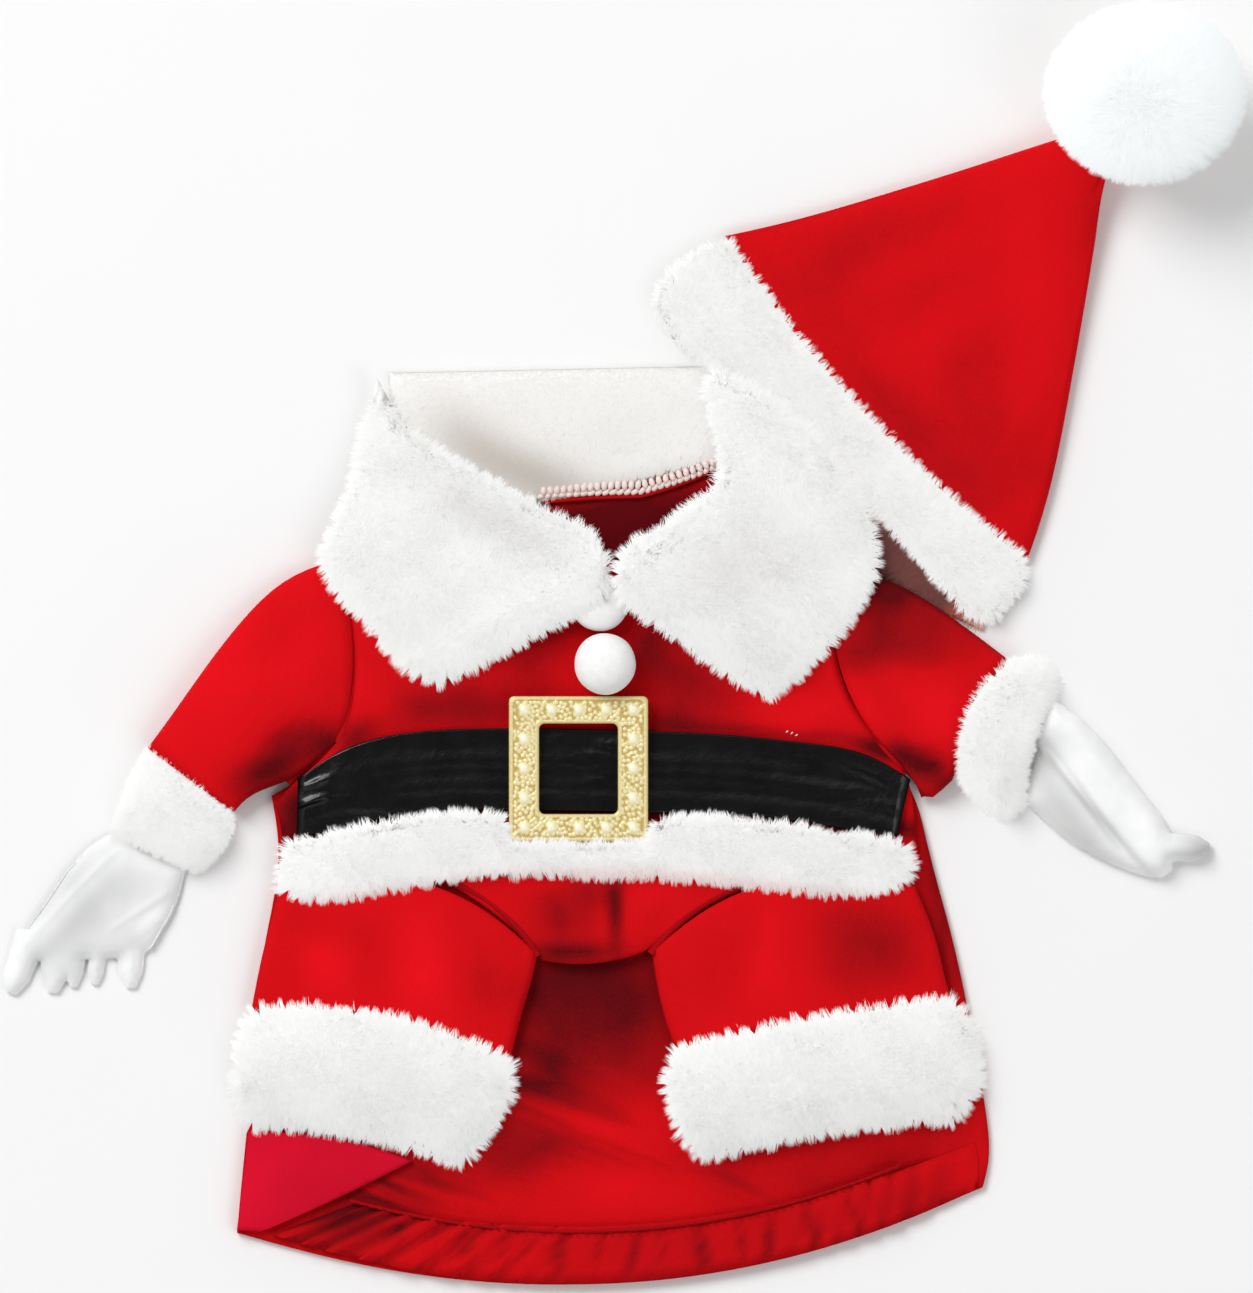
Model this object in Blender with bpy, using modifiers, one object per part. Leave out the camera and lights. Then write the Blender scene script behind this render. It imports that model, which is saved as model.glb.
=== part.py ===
"""A dog's Santa costume and its hat, laid flat on a surface with the front up.

Sizes are in millimetres and become metres in the meshes. X runs to the right across the coat,
Y from the hem to the hat, and Z up from the surface. The origin is on that surface, on the
coat's middle line, below the belt.
"""
import math
from collections import namedtuple

import bmesh
import bpy
from mathutils import Vector

MM = 0.001

# Clear space between two pieces, at a seam or where one lies on another
GAP = 0.3

# Cloth and plush
CLOTH = 2.0
BELT_CLOTH = 1.6
CASING_CLOTH = 1.5

# The hem's elastic draws it into this many gathers
GATHERS = 24
GATHER_RISE = 1.7

# Buckle: a square frame with studs on it
BUCKLE_CENTRE = (-11.4, -0.2)
BUCKLE_WIDTH = 47.2
BUCKLE_HEIGHT = 49.2
BUCKLE_BAND_X = 10.2
BUCKLE_BAND_Y = 9.2
BUCKLE_LOW = 11.0
BUCKLE_THICK = 3.4
STUD_RADIUS = 3.0
STUD_TOP_SHARE = 0.45
STUD_RISE = 1.1
STUD_SUNK = 0.8
STUDS_A_SIDE = 5

# The belt's two folds run along it at these shares of its width
BELT_FOLDS = (0.38, 0.68)
BELT_FOLD_WIDTH = 0.07
BELT_FOLD_RISE = 0.9

# Felt balls: centre, radius across and height
BALL_UPPER = (-4.2, 56.6, 10.2, 9.6)
BALL_LOWER = (-2.4, 35.4, 10.6, 17.0)
BALL_LOW = 8.1

# Pompom of the hat: its locks end on an ellipsoid, and the lowest ends just above the surface
POMPOM_RADII = (36.3, 33.2, 33.4)
POMPOM_CENTRE = (180.5, 228.3, POMPOM_RADII[2] + 0.5)
POMPOM_CORE = 20.0
LOCK_ROOT_INSET = 0.5
LOCK_LEAN = 0.08
LOCK_UNEVENNESS = 0.05
TIP_CLEARANCE = math.radians(30)

# How round the flattened sections are: 1 is an ellipse, and less is fuller
SIDE_POWER = 0.85
TOP_POWER = 0.7

# The lowest tenth of such a section is pressed flat where it lies
FLAT_SHARE = 0.1

# A tube's wall is thicker in its side folds than above and below by this factor
SIDE_WALL = 1.3

# How square a sheet's crown is: 2 is a parabola, and more is flatter in the middle
CROWN_POWER = 2.5

# A cross line of a sheet of cloth runs from point 1 to point 2. Its middle stands bow to the left
# of that way. Its upper face is edge high at both ends and crown higher in the middle.
Cross = namedtuple("Cross", "x1 y1 x2 y2 bow edge crown")

# A flattened ring runs round such a line. Its underside is low1 high at point 1 and low2 at
# point 2, it is high thick, and its wall is wall thick where it is a tube.
Ring = namedtuple("Ring", "x1 y1 x2 y2 bow low1 low2 high wall")

# A ridge of the cloth along a line, or a trough where rise is negative
Fold = namedtuple("Fold", "x1 y1 x2 y2 width rise")

# A finger runs from point 1 to point 2 and is width1 and width2 across there, and high thick
Finger = namedtuple("Finger", "x1 y1 x2 y2 width1 width2 high")


def past_seam(row, side, low, high, wall):
    """The first ring of a piece sewn to a ring: side is 1 to the left of its way, else -1."""
    way = Vector((row.x2 - row.x1, row.y2 - row.y1))
    x, y = Vector((-way.y, way.x)).normalized() * side * GAP
    return Ring(row.x1 + x, row.y1 + y, row.x2 + x, row.y2 + y, row.bow, low, low, high, wall)


COAT_BACK = [
    Cross(-76.0, 77.2, 56.0, 108.0, 0.0, CLOTH, 0.0),
    Cross(-89.4, 57.0, 74.3, 57.0, 0.0, CLOTH, 0.0),
    Cross(-86.9, 40.0, 74.3, 42.0, 0.0, CLOTH, 0.0),
    Cross(-87.3, 27.0, 77.9, 27.0, 0.0, CLOTH, 0.0),
    Cross(-89.4, 11.0, 86.4, 11.0, 0.0, CLOTH, 0.0),
    Cross(-100.0, -0.9, 101.2, -2.5, 0.0, CLOTH, 0.0),
    Cross(-111.6, -6.6, 103.4, -7.4, 0.0, CLOTH, 0.0),
    Cross(-116.0, -7.8, 105.2, -12.0, 0.0, CLOTH, 0.0),
    Cross(-111.0, -28.0, 107.0, -28.0, 0.0, CLOTH, 0.0),
    Cross(-116.0, -48.0, 113.5, -48.5, 0.0, CLOTH, 0.0),
    Cross(-121.0, -79.0, 120.5, -79.5, -2.0, CLOTH, 0.0),
    Cross(-123.0, -113.0, 126.5, -113.0, -7.5, CLOTH, 0.0),
    Cross(-126.0, -140.0, 129.4, -134.0, -19.0, CLOTH, 0.0),
    Cross(-127.5, -158.0, 126.0, -142.5, -25.4, CLOTH, 0.0),
]

COAT_FRONT = [
    Cross(-80.0, 92.0, 58.0, 104.0, -30.0, 4.6, 1.0),
    Cross(-89.4, 57.0, 74.3, 57.0, -1.7, 6.8, 0.9),
    Cross(-86.9, 40.0, 74.3, 42.0, 0.0, 7.4, 0.3),
    Cross(-87.3, 27.0, 77.9, 27.0, 0.0, 7.4, 0.3),
    Cross(-90.4, 11.0, 87.6, 11.0, 0.0, 7.2, 0.5),
    Cross(-101.4, -0.2, 101.2, -2.5, 0.0, 6.4, 1.3),
    Cross(-111.8, -6.6, 101.8, -6.9, 0.0, 5.6, 2.1),
    Cross(-115.8, -7.8, 102.4, -10.5, 0.0, 5.0, 2.7),
    Cross(-110.8, -24.5, 103.2, -26.2, 0.0, 4.6, 3.1),
    Cross(-112.0, -34.0, 104.6, -34.0, 0.0, 4.5, 3.2),
]

HEM_CASING = [
    Cross(-87.8, -148.2, 123.4, -127.0, -16.5, 3.9, 0.4),
    Cross(-102.0, -153.6, 126.4, -135.5, -20.0, 4.2, 0.4),
    Cross(-115.5, -158.6, 124.6, -142.8, -24.2, 3.9, 0.0),
]

BACK_FOLD = [
    Cross(-123.6, -123.6, -68.0, -133.6, 3.0, 4.3, 0.8),
    Cross(-125.0, -136.5, -82.5, -141.0, 1.5, 4.3, 1.2),
    Cross(-126.3, -147.0, -100.5, -149.6, 0.0, 4.3, 1.0),
    Cross(-127.5, -157.0, -118.8, -157.6, 0.0, 4.3, 0.2),
]

CROTCH_GUSSET = [
    Cross(-58.8, -36.8, 53.0, -36.6, 0.0, 6.8, 0.9),
    Cross(-44.4, -46.2, 33.2, -46.2, 0.0, 7.0, 0.7),
    Cross(-33.2, -54.9, 21.4, -54.9, 0.0, 6.6, 0.9),
    Cross(-24.0, -65.3, 12.0, -62.0, -2.7, 5.4, 1.4),
]

LEG_LEFT = [
    Ring(-112.5, -39.4, -25.5, -63.6, 14.3, 2.3, 2.3, 7.5, 2.0),
    Ring(-115.6, -51.0, -26.5, -69.4, 9.0, 2.3, 2.3, 7.5, 2.0),
    Ring(-119.0, -63.6, -28.2, -75.5, 4.8, 2.3, 2.3, 7.5, 2.0),
    Ring(-121.0, -73.8, -30.9, -84.0, 5.4, 2.3, 2.3, 7.5, 2.0),
    Ring(-122.7, -83.0, -34.7, -100.0, 7.5, 2.3, 2.3, 7.5, 2.0),
]

LEG_CUFF_LEFT = [
    past_seam(LEG_LEFT[-1], -1, 2.3, 9.0, 2.8),
    Ring(-125.5, -88.5, -33.0, -105.4, 7.0, 2.3, 2.3, 14.0, 5.3),
    Ring(-128.5, -105.0, -39.0, -118.8, 6.8, 2.3, 2.3, 16.5, 6.5),
    Ring(-128.5, -115.6, -45.0, -129.4, 6.1, 2.3, 2.3, 13.5, 5.0),
    Ring(-124.4, -120.8, -50.8, -134.0, 4.1, 2.3, 2.3, 7.6, 2.1),
]

LEG_RIGHT = [
    Ring(13.6, -62.9, 103.0, -40.2, 14.3, 2.3, 2.3, 7.5, 2.0),
    Ring(14.6, -70.4, 106.4, -48.0, 9.0, 2.3, 2.3, 7.5, 2.0),
    Ring(16.3, -78.9, 110.8, -60.2, 4.8, 2.3, 2.3, 7.5, 2.0),
    Ring(19.0, -89.1, 113.6, -73.8, 2.7, 2.3, 2.3, 7.5, 2.0),
    Ring(21.8, -95.9, 115.6, -78.9, 2.0, 2.3, 2.3, 7.5, 2.0),
]

LEG_CUFF_RIGHT = [
    past_seam(LEG_RIGHT[-1], -1, 2.3, 9.0, 2.8),
    Ring(17.7, -102.5, 123.0, -85.0, 1.7, 2.3, 2.3, 14.0, 5.3),
    Ring(21.0, -117.5, 125.0, -103.0, 1.4, 2.3, 2.3, 16.5, 6.5),
    Ring(24.5, -127.5, 123.4, -114.5, 2.0, 2.3, 2.3, 13.5, 5.0),
    Ring(30.6, -132.3, 116.6, -118.7, 2.7, 2.3, 2.3, 7.6, 2.1),
]

WAIST_TRIM = [
    Ring(-110.5, -25.4, -113.0, -41.0, 0.0, 6.2, 8.0, 4.0, 0.0),
    Ring(-103.0, -24.0, -103.0, -44.3, 0.0, 7.5, 10.1, 7.0, 0.0),
    Ring(-92.8, -21.6, -92.8, -43.9, 0.0, 9.2, 10.1, 8.0, 0.0),
    Ring(-72.8, -16.6, -71.4, -38.8, 0.0, 10.0, 10.1, 8.0, 0.0),
    Ring(-56.4, -14.9, -53.4, -36.0, 0.0, 10.1, 10.1, 8.0, 0.0),
    Ring(-44.0, -15.0, -43.5, -34.6, 0.0, 10.1, 10.1, 8.0, 0.0),
    Ring(-37.2, -16.4, -38.0, -34.6, 0.0, 10.1, 10.1, 7.8, 0.0),
    Ring(-35.5, -25.2, -36.6, -34.6, 0.0, 10.1, 10.1, 6.8, 0.0),
    Ring(-26.0, -25.3, -26.0, -34.8, 0.0, 10.1, 10.1, 6.5, 0.0),
    Ring(-11.6, -25.3, -11.6, -35.0, 0.0, 10.1, 10.1, 6.5, 0.0),
    Ring(3.0, -25.3, 3.0, -35.2, 0.0, 10.1, 10.1, 6.5, 0.0),
    Ring(12.7, -25.2, 13.4, -35.6, 0.0, 10.1, 10.1, 6.8, 0.0),
    Ring(14.4, -17.2, 15.0, -35.7, 0.0, 10.1, 10.1, 7.8, 0.0),
    Ring(21.0, -16.0, 21.0, -35.9, 0.0, 10.1, 10.1, 8.0, 0.0),
    Ring(39.4, -16.5, 40.8, -37.4, 0.0, 10.1, 10.1, 8.0, 0.0),
    Ring(60.5, -19.0, 63.6, -40.8, 0.0, 10.1, 10.1, 8.0, 0.0),
    Ring(80.9, -22.0, 80.9, -42.5, 0.0, 9.4, 10.1, 8.0, 0.0),
    Ring(93.8, -24.4, 95.2, -40.1, 0.0, 8.0, 10.0, 6.5, 0.0),
    Ring(100.3, -26.4, 101.0, -35.0, 0.0, 6.6, 8.4, 4.0, 0.0),
]

# Along the belt. Only its plan is listed: it lies on the front panel.
BELT = [
    Cross(-106.8, -3.8, -107.2, -23.8, 0.0, 0.0, 0.0),
    Cross(-103.6, -1.2, -103.8, -23.0, 0.0, 0.0, 0.0),
    Cross(-98.6, 2.6, -98.8, -21.9, 0.0, 0.0, 0.0),
    Cross(-92.8, 7.1, -92.9, -20.6, 0.0, 0.0, 0.0),
    Cross(-72.8, 11.8, -72.8, -15.9, 0.0, 0.0, 0.0),
    Cross(-56.4, 13.3, -56.4, -13.8, 0.0, 0.0, 0.0),
    Cross(-35.0, 13.6, -35.7, -14.3, 0.0, 0.0, 0.0),
    Cross(-11.6, 13.3, -11.6, -14.6, 0.0, 0.0, 0.0),
    Cross(12.9, 12.6, 13.6, -15.2, 0.0, 0.0, 0.0),
    Cross(37.4, 11.6, 39.4, -15.3, 0.0, 0.0, 0.0),
    Cross(58.1, 9.5, 60.5, -17.7, 0.0, 0.0, 0.0),
    Cross(78.9, 7.1, 80.9, -20.9, 0.0, 0.0, 0.0),
    Cross(90.6, 5.9, 90.0, -22.4, 0.0, 0.0, 0.0),
    Cross(96.4, 1.7, 93.6, -22.9, 0.0, 0.0, 0.0),
    Cross(101.4, -3.8, 96.8, -23.3, 0.0, 0.0, 0.0),
]

COLLAR_BACK = [
    Ring(-40.0, 85.9, 41.0, 104.8, 0.0, 0.0, 0.0, 4.0, 0.0),
    Ring(-50.0, 96.0, 41.5, 109.5, 0.0, 0.0, 0.0, 6.6, 0.0),
    Ring(-70.5, 116.0, 41.0, 120.0, 0.0, 0.0, 0.0, 7.0, 0.0),
    Ring(-77.0, 129.0, 39.0, 131.4, 0.0, 0.0, 0.0, 6.6, 0.0),
    Ring(-76.5, 134.3, 35.4, 136.7, 0.0, 0.0, 0.0, 3.4, 0.0),
]

# Along the collar's left half, from the neck side to the free edge
COLLAR_LEFT = [
    Ring(-71.4, 116.6, -79.6, 132.6, 0.0, 7.4, 6.6, 3.4, 0.0),
    Ring(-61.5, 110.2, -85.0, 111.5, 0.0, 7.5, 4.5, 8.5, 0.0),
    Ring(-48.6, 102.3, -90.4, 91.1, 0.0, 7.5, 5.6, 10.0, 0.0),
    Ring(-34.7, 94.9, -99.5, 70.7, 0.0, 7.6, 9.0, 10.0, 0.0),
    Ring(-22.4, 88.4, -93.2, 58.5, 0.0, 7.8, 9.2, 10.0, 0.0),
    Ring(-12.6, 84.3, -83.3, 51.0, 0.0, 8.0, 8.4, 10.0, 0.0),
    Ring(-2.7, 77.5, -76.2, 38.4, 0.0, 12.5, 8.2, 9.5, 0.0),
    Ring(0.0, 68.5, -67.7, 31.6, 0.0, 18.6, 8.2, 9.0, 0.0),
    Ring(-1.0, 59.1, -59.2, 28.6, 0.0, 19.6, 8.2, 4.5, 0.0),
]

# Along its right half, from the neck side to the free edge
COLLAR_RIGHT = [
    Ring(31.4, 130.0, 35.0, 135.7, 0.0, 7.2, 7.6, 3.4, 0.0),
    Ring(34.6, 116.6, 46.2, 130.6, 0.0, 7.2, 9.8, 8.0, 0.0),
    Ring(37.0, 103.0, 59.2, 122.7, 0.0, 7.3, 10.4, 9.5, 0.0),
    Ring(34.0, 93.5, 73.4, 108.8, 0.0, 7.6, 10.4, 10.0, 0.0),
    Ring(26.2, 90.4, 85.0, 94.5, 0.0, 7.8, 10.0, 10.0, 0.0),
    Ring(19.0, 82.6, 91.1, 73.4, 0.0, 8.0, 9.4, 10.0, 0.0),
    Ring(9.5, 79.2, 88.4, 60.5, 0.0, 9.5, 9.8, 10.0, 0.0),
    Ring(3.0, 74.1, 79.2, 48.6, 0.0, 15.0, 9.2, 9.5, 0.0),
    Ring(1.0, 66.6, 65.6, 32.6, 0.0, 18.6, 8.3, 9.0, 0.0),
    Ring(1.4, 58.8, 53.0, 23.4, 0.0, 19.4, 8.3, 4.5, 0.0),
]

SLEEVE_LEFT = [
    Ring(-94.2, 70.7, -93.2, 7.5, 6.1, 0.0, 0.0, 8.2, 2.4),
    Ring(-109.5, 66.6, -99.8, 2.2, 3.4, 0.0, 0.0, 9.5, 3.1),
    Ring(-126.8, 49.0, -110.5, -5.0, 0.0, 0.0, 0.0, 12.0, 4.3),
    Ring(-137.7, 35.4, -119.2, -7.0, 0.0, 0.0, 0.0, 13.5, 5.1),
    Ring(-147.6, 20.4, -125.5, -10.9, 0.0, 0.0, 0.0, 13.5, 5.1),
    Ring(-157.8, 6.8, -128.5, -15.0, 0.0, 0.0, 0.0, 12.0, 4.3),
]

SLEEVE_RIGHT = [
    Ring(76.8, 67.3, 103.6, -2.4, -12.5, 0.0, 0.0, 8.4, 2.5),
    Ring(92.8, 65.3, 107.0, -10.8, -5.6, 0.0, 0.0, 10.0, 3.3),
    Ring(108.1, 56.3, 111.6, -8.0, -2.0, 0.0, 0.0, 12.5, 4.6),
    Ring(123.4, 45.6, 115.6, -4.1, -3.4, 0.0, 0.0, 13.5, 5.1),
    Ring(135.7, 36.0, 117.3, -1.4, -6.5, 0.0, 0.0, 12.0, 4.3),
]

SLEEVE_CUFF_LEFT = [
    past_seam(SLEEVE_LEFT[-1], -1, 0.0, 11.0, 3.8),
    Ring(-161.5, 0.0, -128.6, -20.0, 0.0, 0.0, 0.0, 15.0, 5.8),
    Ring(-167.5, -12.5, -133.0, -29.0, 0.0, 0.0, 0.0, 16.0, 6.3),
    Ring(-170.0, -21.8, -140.1, -35.4, 0.0, 0.0, 0.0, 10.0, 3.3),
]

SLEEVE_CUFF_RIGHT = [
    past_seam(SLEEVE_RIGHT[-1], 1, 0.0, 11.0, 3.8),
    Ring(142.5, 36.6, 124.0, -10.3, -5.4, 0.0, 0.0, 16.0, 6.3),
    Ring(149.0, 34.4, 134.0, -17.0, -3.6, 0.0, 0.0, 18.0, 7.3),
    Ring(151.6, 28.6, 139.1, -12.2, -4.1, 0.0, 0.0, 11.0, 3.8),
]

GLOVE_LEFT_PALM = [
    Ring(-171.2, -22.2, -144.7, -33.7, 0.0, 0.0, 0.0, 8.5, 0.0),
    Ring(-180.6, -28.6, -147.6, -45.9, 0.0, 0.0, 0.0, 9.0, 0.0),
    Ring(-187.6, -37.4, -150.3, -51.7, 0.0, 0.0, 0.0, 9.0, 0.0),
    Ring(-195.0, -49.0, -153.4, -56.5, 0.0, 0.0, 0.0, 8.4, 0.0),
    Ring(-201.6, -58.0, -156.6, -62.0, 0.0, 0.0, 0.0, 7.4, 0.0),
    Ring(-204.6, -65.6, -160.4, -64.4, 0.0, 0.0, 0.0, 6.0, 0.0),
]

FINGERS_LEFT = [
    Finger(-197.0, -56.0, -204.4, -76.6, 12.0, 8.0, 6.0),
    Finger(-188.5, -56.0, -190.2, -76.4, 12.0, 8.0, 6.4),
    Finger(-180.9, -57.0, -183.2, -74.6, 6.2, 5.2, 5.6),
    Finger(-174.0, -57.0, -176.0, -73.6, 6.2, 5.4, 5.2),
    Finger(-163.6, -52.0, -163.6, -74.8, 11.5, 7.4, 6.6),
]

GLOVE_RIGHT_UPPER = [
    Ring(148.9, 24.6, 142.3, 8.4, 0.0, 0.0, 0.0, 12.0, 0.0),
    Ring(160.8, 15.6, 149.6, 0.0, 0.0, 0.0, 0.0, 12.5, 0.0),
    Ring(172.8, 1.4, 159.5, -12.9, 0.0, 0.0, 0.0, 12.0, 0.0),
    Ring(179.2, -7.1, 165.2, -17.7, 0.0, 0.0, 0.0, 11.0, 0.0),
    Ring(188.7, -19.7, 174.8, -27.9, 0.0, 0.0, 0.0, 9.5, 0.0),
    Ring(191.8, -28.5, 183.0, -35.0, 0.0, 0.0, 0.0, 8.0, 0.0),
    Ring(190.5, -34.6, 186.0, -37.8, 0.0, 0.0, 0.0, 4.5, 0.0),
]

GLOVE_RIGHT_LOWER = [
    Ring(144.4, 9.0, 140.2, -11.4, 0.0, 0.0, 0.0, 8.0, 0.0),
    Ring(153.6, 1.0, 147.2, -18.0, 0.0, 0.0, 0.0, 8.5, 0.0),
    Ring(163.5, -11.6, 154.8, -24.8, 0.0, 0.0, 0.0, 8.5, 0.0),
    Ring(171.2, -18.4, 166.5, -31.4, 0.0, 0.0, 0.0, 7.5, 0.0),
    Ring(178.7, -26.2, 175.6, -35.2, 0.0, 0.0, 0.0, 6.0, 0.0),
    Ring(185.9, -32.3, 184.0, -37.6, 0.0, 0.0, 0.0, 4.0, 0.0),
]

THUMB_RIGHT = [Finger(184.0, -26.4, 203.0, -27.8, 10.2, 9.6, 7.5)]

# Along the hat, from the brim to the tip
HAT_CONE = [
    Ring(38.4, 180.8, 141.0, 70.4, -7.0, 0.0, 0.0, 7.6, 2.0),
    Ring(55.4, 184.3, 145.5, 82.6, -4.1, 0.0, 0.0, 7.8, 2.1),
    Ring(77.5, 190.4, 150.6, 101.3, -2.7, 0.0, 0.0, 8.0, 2.2),
    Ring(99.6, 197.2, 155.0, 125.1, -1.7, 0.0, 0.0, 8.2, 2.3),
    Ring(121.7, 204.0, 159.8, 152.3, 0.0, 0.0, 0.0, 8.6, 2.5),
    Ring(142.1, 210.8, 164.0, 177.8, 0.0, 0.6, 0.6, 9.0, 2.7),
    Ring(155.6, 214.9, 167.3, 202.3, 0.0, 4.5, 4.5, 8.6, 2.5),
    Ring(163.0, 216.6, 168.6, 210.6, 0.0, 9.3, 9.3, 7.4, 2.1),
    Ring(167.4, 220.0, 172.2, 215.2, 0.0, 13.6, 13.6, 7.0, 2.0),
]

HAT_BRIM_FRONT = [
    past_seam(HAT_CONE[0], -1, 3.3, 4.6, 0.0),
    Ring(31.0, 177.0, 140.8, 64.0, -6.4, 3.3, 3.3, 6.6, 0.0),
    Ring(14.8, 164.5, 134.8, 56.4, 0.0, 3.3, 3.3, 6.8, 0.0),
    Ring(13.4, 154.0, 127.6, 49.0, 3.8, 3.3, 3.3, 6.4, 0.0),
    Ring(19.0, 146.9, 122.0, 50.2, 5.4, 3.3, 3.3, 4.0, 0.0),
]

HAT_BRIM_BACK = [
    past_seam(HAT_CONE[0], -1, 0.0, 3.0, 0.0),
    Ring(17.0, 163.5, 133.2, 56.6, 0.0, 0.0, 0.0, 3.0, 0.0),
    Ring(40.0, 141.0, 128.0, 50.6, -4.0, 0.0, 0.0, 3.0, 0.0),
    Ring(68.5, 84.0, 125.9, 46.4, 0.0, 0.0, 0.0, 3.0, 0.0),
]

# The largest creases of the cloth
FRONT_FOLDS = [
    Fold(-84.0, 20.0, -44.0, 15.0, 5.0, 0.5),
    Fold(62.0, 17.0, 84.0, 22.0, 5.0, 0.5),
]
GUSSET_FOLDS = [
    Fold(-1.0, -38.0, 0.5, -66.0, 3.0, 0.8),
    Fold(-24.0, -42.0, -14.0, -58.0, 4.0, -0.6),
]
LEG_LEFT_FOLDS = [
    Fold(-112.0, -50.0, -86.0, -62.0, 6.0, -0.8),
    Fold(-88.0, -44.0, -60.0, -58.0, 6.0, 0.7),
    Fold(-60.0, -56.0, -36.0, -90.0, 6.0, -0.7),
]
LEG_RIGHT_FOLDS = [
    Fold(50.0, -46.0, 38.0, -86.0, 6.0, -1.0),
    Fold(66.0, -44.0, 56.0, -84.0, 6.0, 0.6),
    Fold(84.0, -50.0, 104.0, -72.0, 7.0, -0.6),
]
SLEEVE_LEFT_FOLDS = [
    Fold(-98.0, 16.0, -122.0, 6.0, 5.0, -1.2),
    Fold(-100.0, 34.0, -134.0, 22.0, 7.0, 0.7),
]
SLEEVE_RIGHT_FOLDS = [
    Fold(100.0, 4.0, 113.0, 2.5, 3.5, -1.6),
    Fold(92.0, 40.0, 122.0, 22.0, 7.0, 0.8),
]
HAT_FOLDS = [
    Fold(72.0, 158.0, 140.0, 186.0, 8.0, 0.6),
    Fold(108.0, 122.0, 146.0, 160.0, 8.0, -0.6),
]


def clear_scene():
    """Removes what the scene holds at the start."""
    for thing in list(bpy.data.objects):
        bpy.data.objects.remove(thing)


def collection(name, hidden=False):
    """A new collection of the scene."""
    made = bpy.data.collections.new(name)
    bpy.context.scene.collection.children.link(made)
    made.hide_render = hidden
    return made


def material(name, red, green, blue, roughness, metallic=0.0):
    """A plain Principled material."""
    made = bpy.data.materials.new(name)
    made.use_nodes = True
    shader = made.node_tree.nodes["Principled BSDF"]
    shader.inputs["Base Color"].default_value = (red, green, blue, 1.0)
    shader.inputs["Roughness"].default_value = roughness
    shader.inputs["Metallic"].default_value = metallic
    made.diffuse_color = (red, green, blue, 1.0)
    return made


def red_cloth(name):
    return material(name + "_fleece", 0.62, 0.008, 0.012, 0.85)


def white_plush(name):
    return material(name + "_plush", 0.88, 0.87, 0.84, 0.95)


def signed_power(value, power):
    """The value's size to a power, with the value's sign."""
    return math.copysign(abs(value) ** power, value)


def middle(row):
    return Vector(((row.x1 + row.x2) / 2, (row.y1 + row.y2) / 2))


def knots(rows):
    """How far each row lies along the piece."""
    places = [0.0]
    for before, after in zip(rows, rows[1:]):
        places.append(places[-1] + (middle(after) - middle(before)).length)
    return places


def slope(places, values, index):
    """Slope at a row that lets the curve through the rows overshoot none of them."""
    steps = []
    for near in (index - 1, index):
        if 0 <= near < len(places) - 1:
            run = places[near + 1] - places[near]
            steps.append((values[near + 1] - values[near]) / run)
    if len(steps) == 1:
        return steps[0]
    if steps[0] * steps[1] <= 0:
        return 0.0
    return 2 * steps[0] * steps[1] / (steps[0] + steps[1])


def row_at(rows, places, place):
    """The row that a smooth curve through all rows has at a place along the piece."""
    near = 0
    while near < len(rows) - 2 and places[near + 1] < place:
        near += 1
    run = places[near + 1] - places[near]
    part = (place - places[near]) / run
    columns = []
    for values in zip(*rows):
        start = slope(places, values, near) * run
        end = slope(places, values, near + 1) * run
        columns.append(
            values[near] * (2 * part**3 - 3 * part**2 + 1)
            + start * (part**3 - 2 * part**2 + part)
            + values[near + 1] * (3 * part**2 - 2 * part**3)
            + end * (part**3 - part**2)
        )
    return type(rows[0])(*columns)


def spread(rows, steps):
    """Rows at even distances along the piece, steps of them after the first."""
    places = knots(rows)
    return [row_at(rows, places, places[-1] * step / steps) for step in range(steps + 1)]


def on_line(row, across):
    """Plan point of a row's line, across from 0 at point 1 to 1 at point 2."""
    start = Vector((row.x1, row.y1))
    way = Vector((row.x2, row.y2)) - start
    left = Vector((-way.y, way.x)).normalized()
    return start + way * across + left * (row.bow * 4 * across * (1 - across))


def fold_rise(folds, x, y):
    """How far the folds lift the cloth at a plan point."""
    rise = 0.0
    for fold in folds:
        start = Vector((fold.x1, fold.y1))
        way = Vector((fold.x2, fold.y2)) - start
        offset = Vector((x, y)) - start
        along = offset.dot(way) / way.length_squared
        if 0 < along < 1:
            aside = (offset - way * along).length
            rise += fold.rise * math.sin(math.pi * along) * math.exp(-((aside / fold.width) ** 2))
    return rise


def crowned(row, across):
    """Height of a sheet's upper face across a row."""
    return row.edge + row.crown * (1 - abs(2 * across - 1) ** CROWN_POWER)


def finish(name, mesh, where, look):
    """Makes an object of a bmesh whose sizes are in millimetres."""
    bmesh.ops.recalc_face_normals(mesh, faces=mesh.faces[:])
    data = bpy.data.meshes.new(name)
    mesh.to_mesh(data)
    mesh.free()
    data.shade_smooth()
    data.set_sharp_from_angle(angle=math.radians(50))
    made = bpy.data.objects.new(name, data)
    data.materials.append(look)
    where.objects.link(made)
    return made


def hide(guide):
    """Marks an object that only shapes another one."""
    guide.hide_render = True
    guide.display_type = "WIRE"


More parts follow.
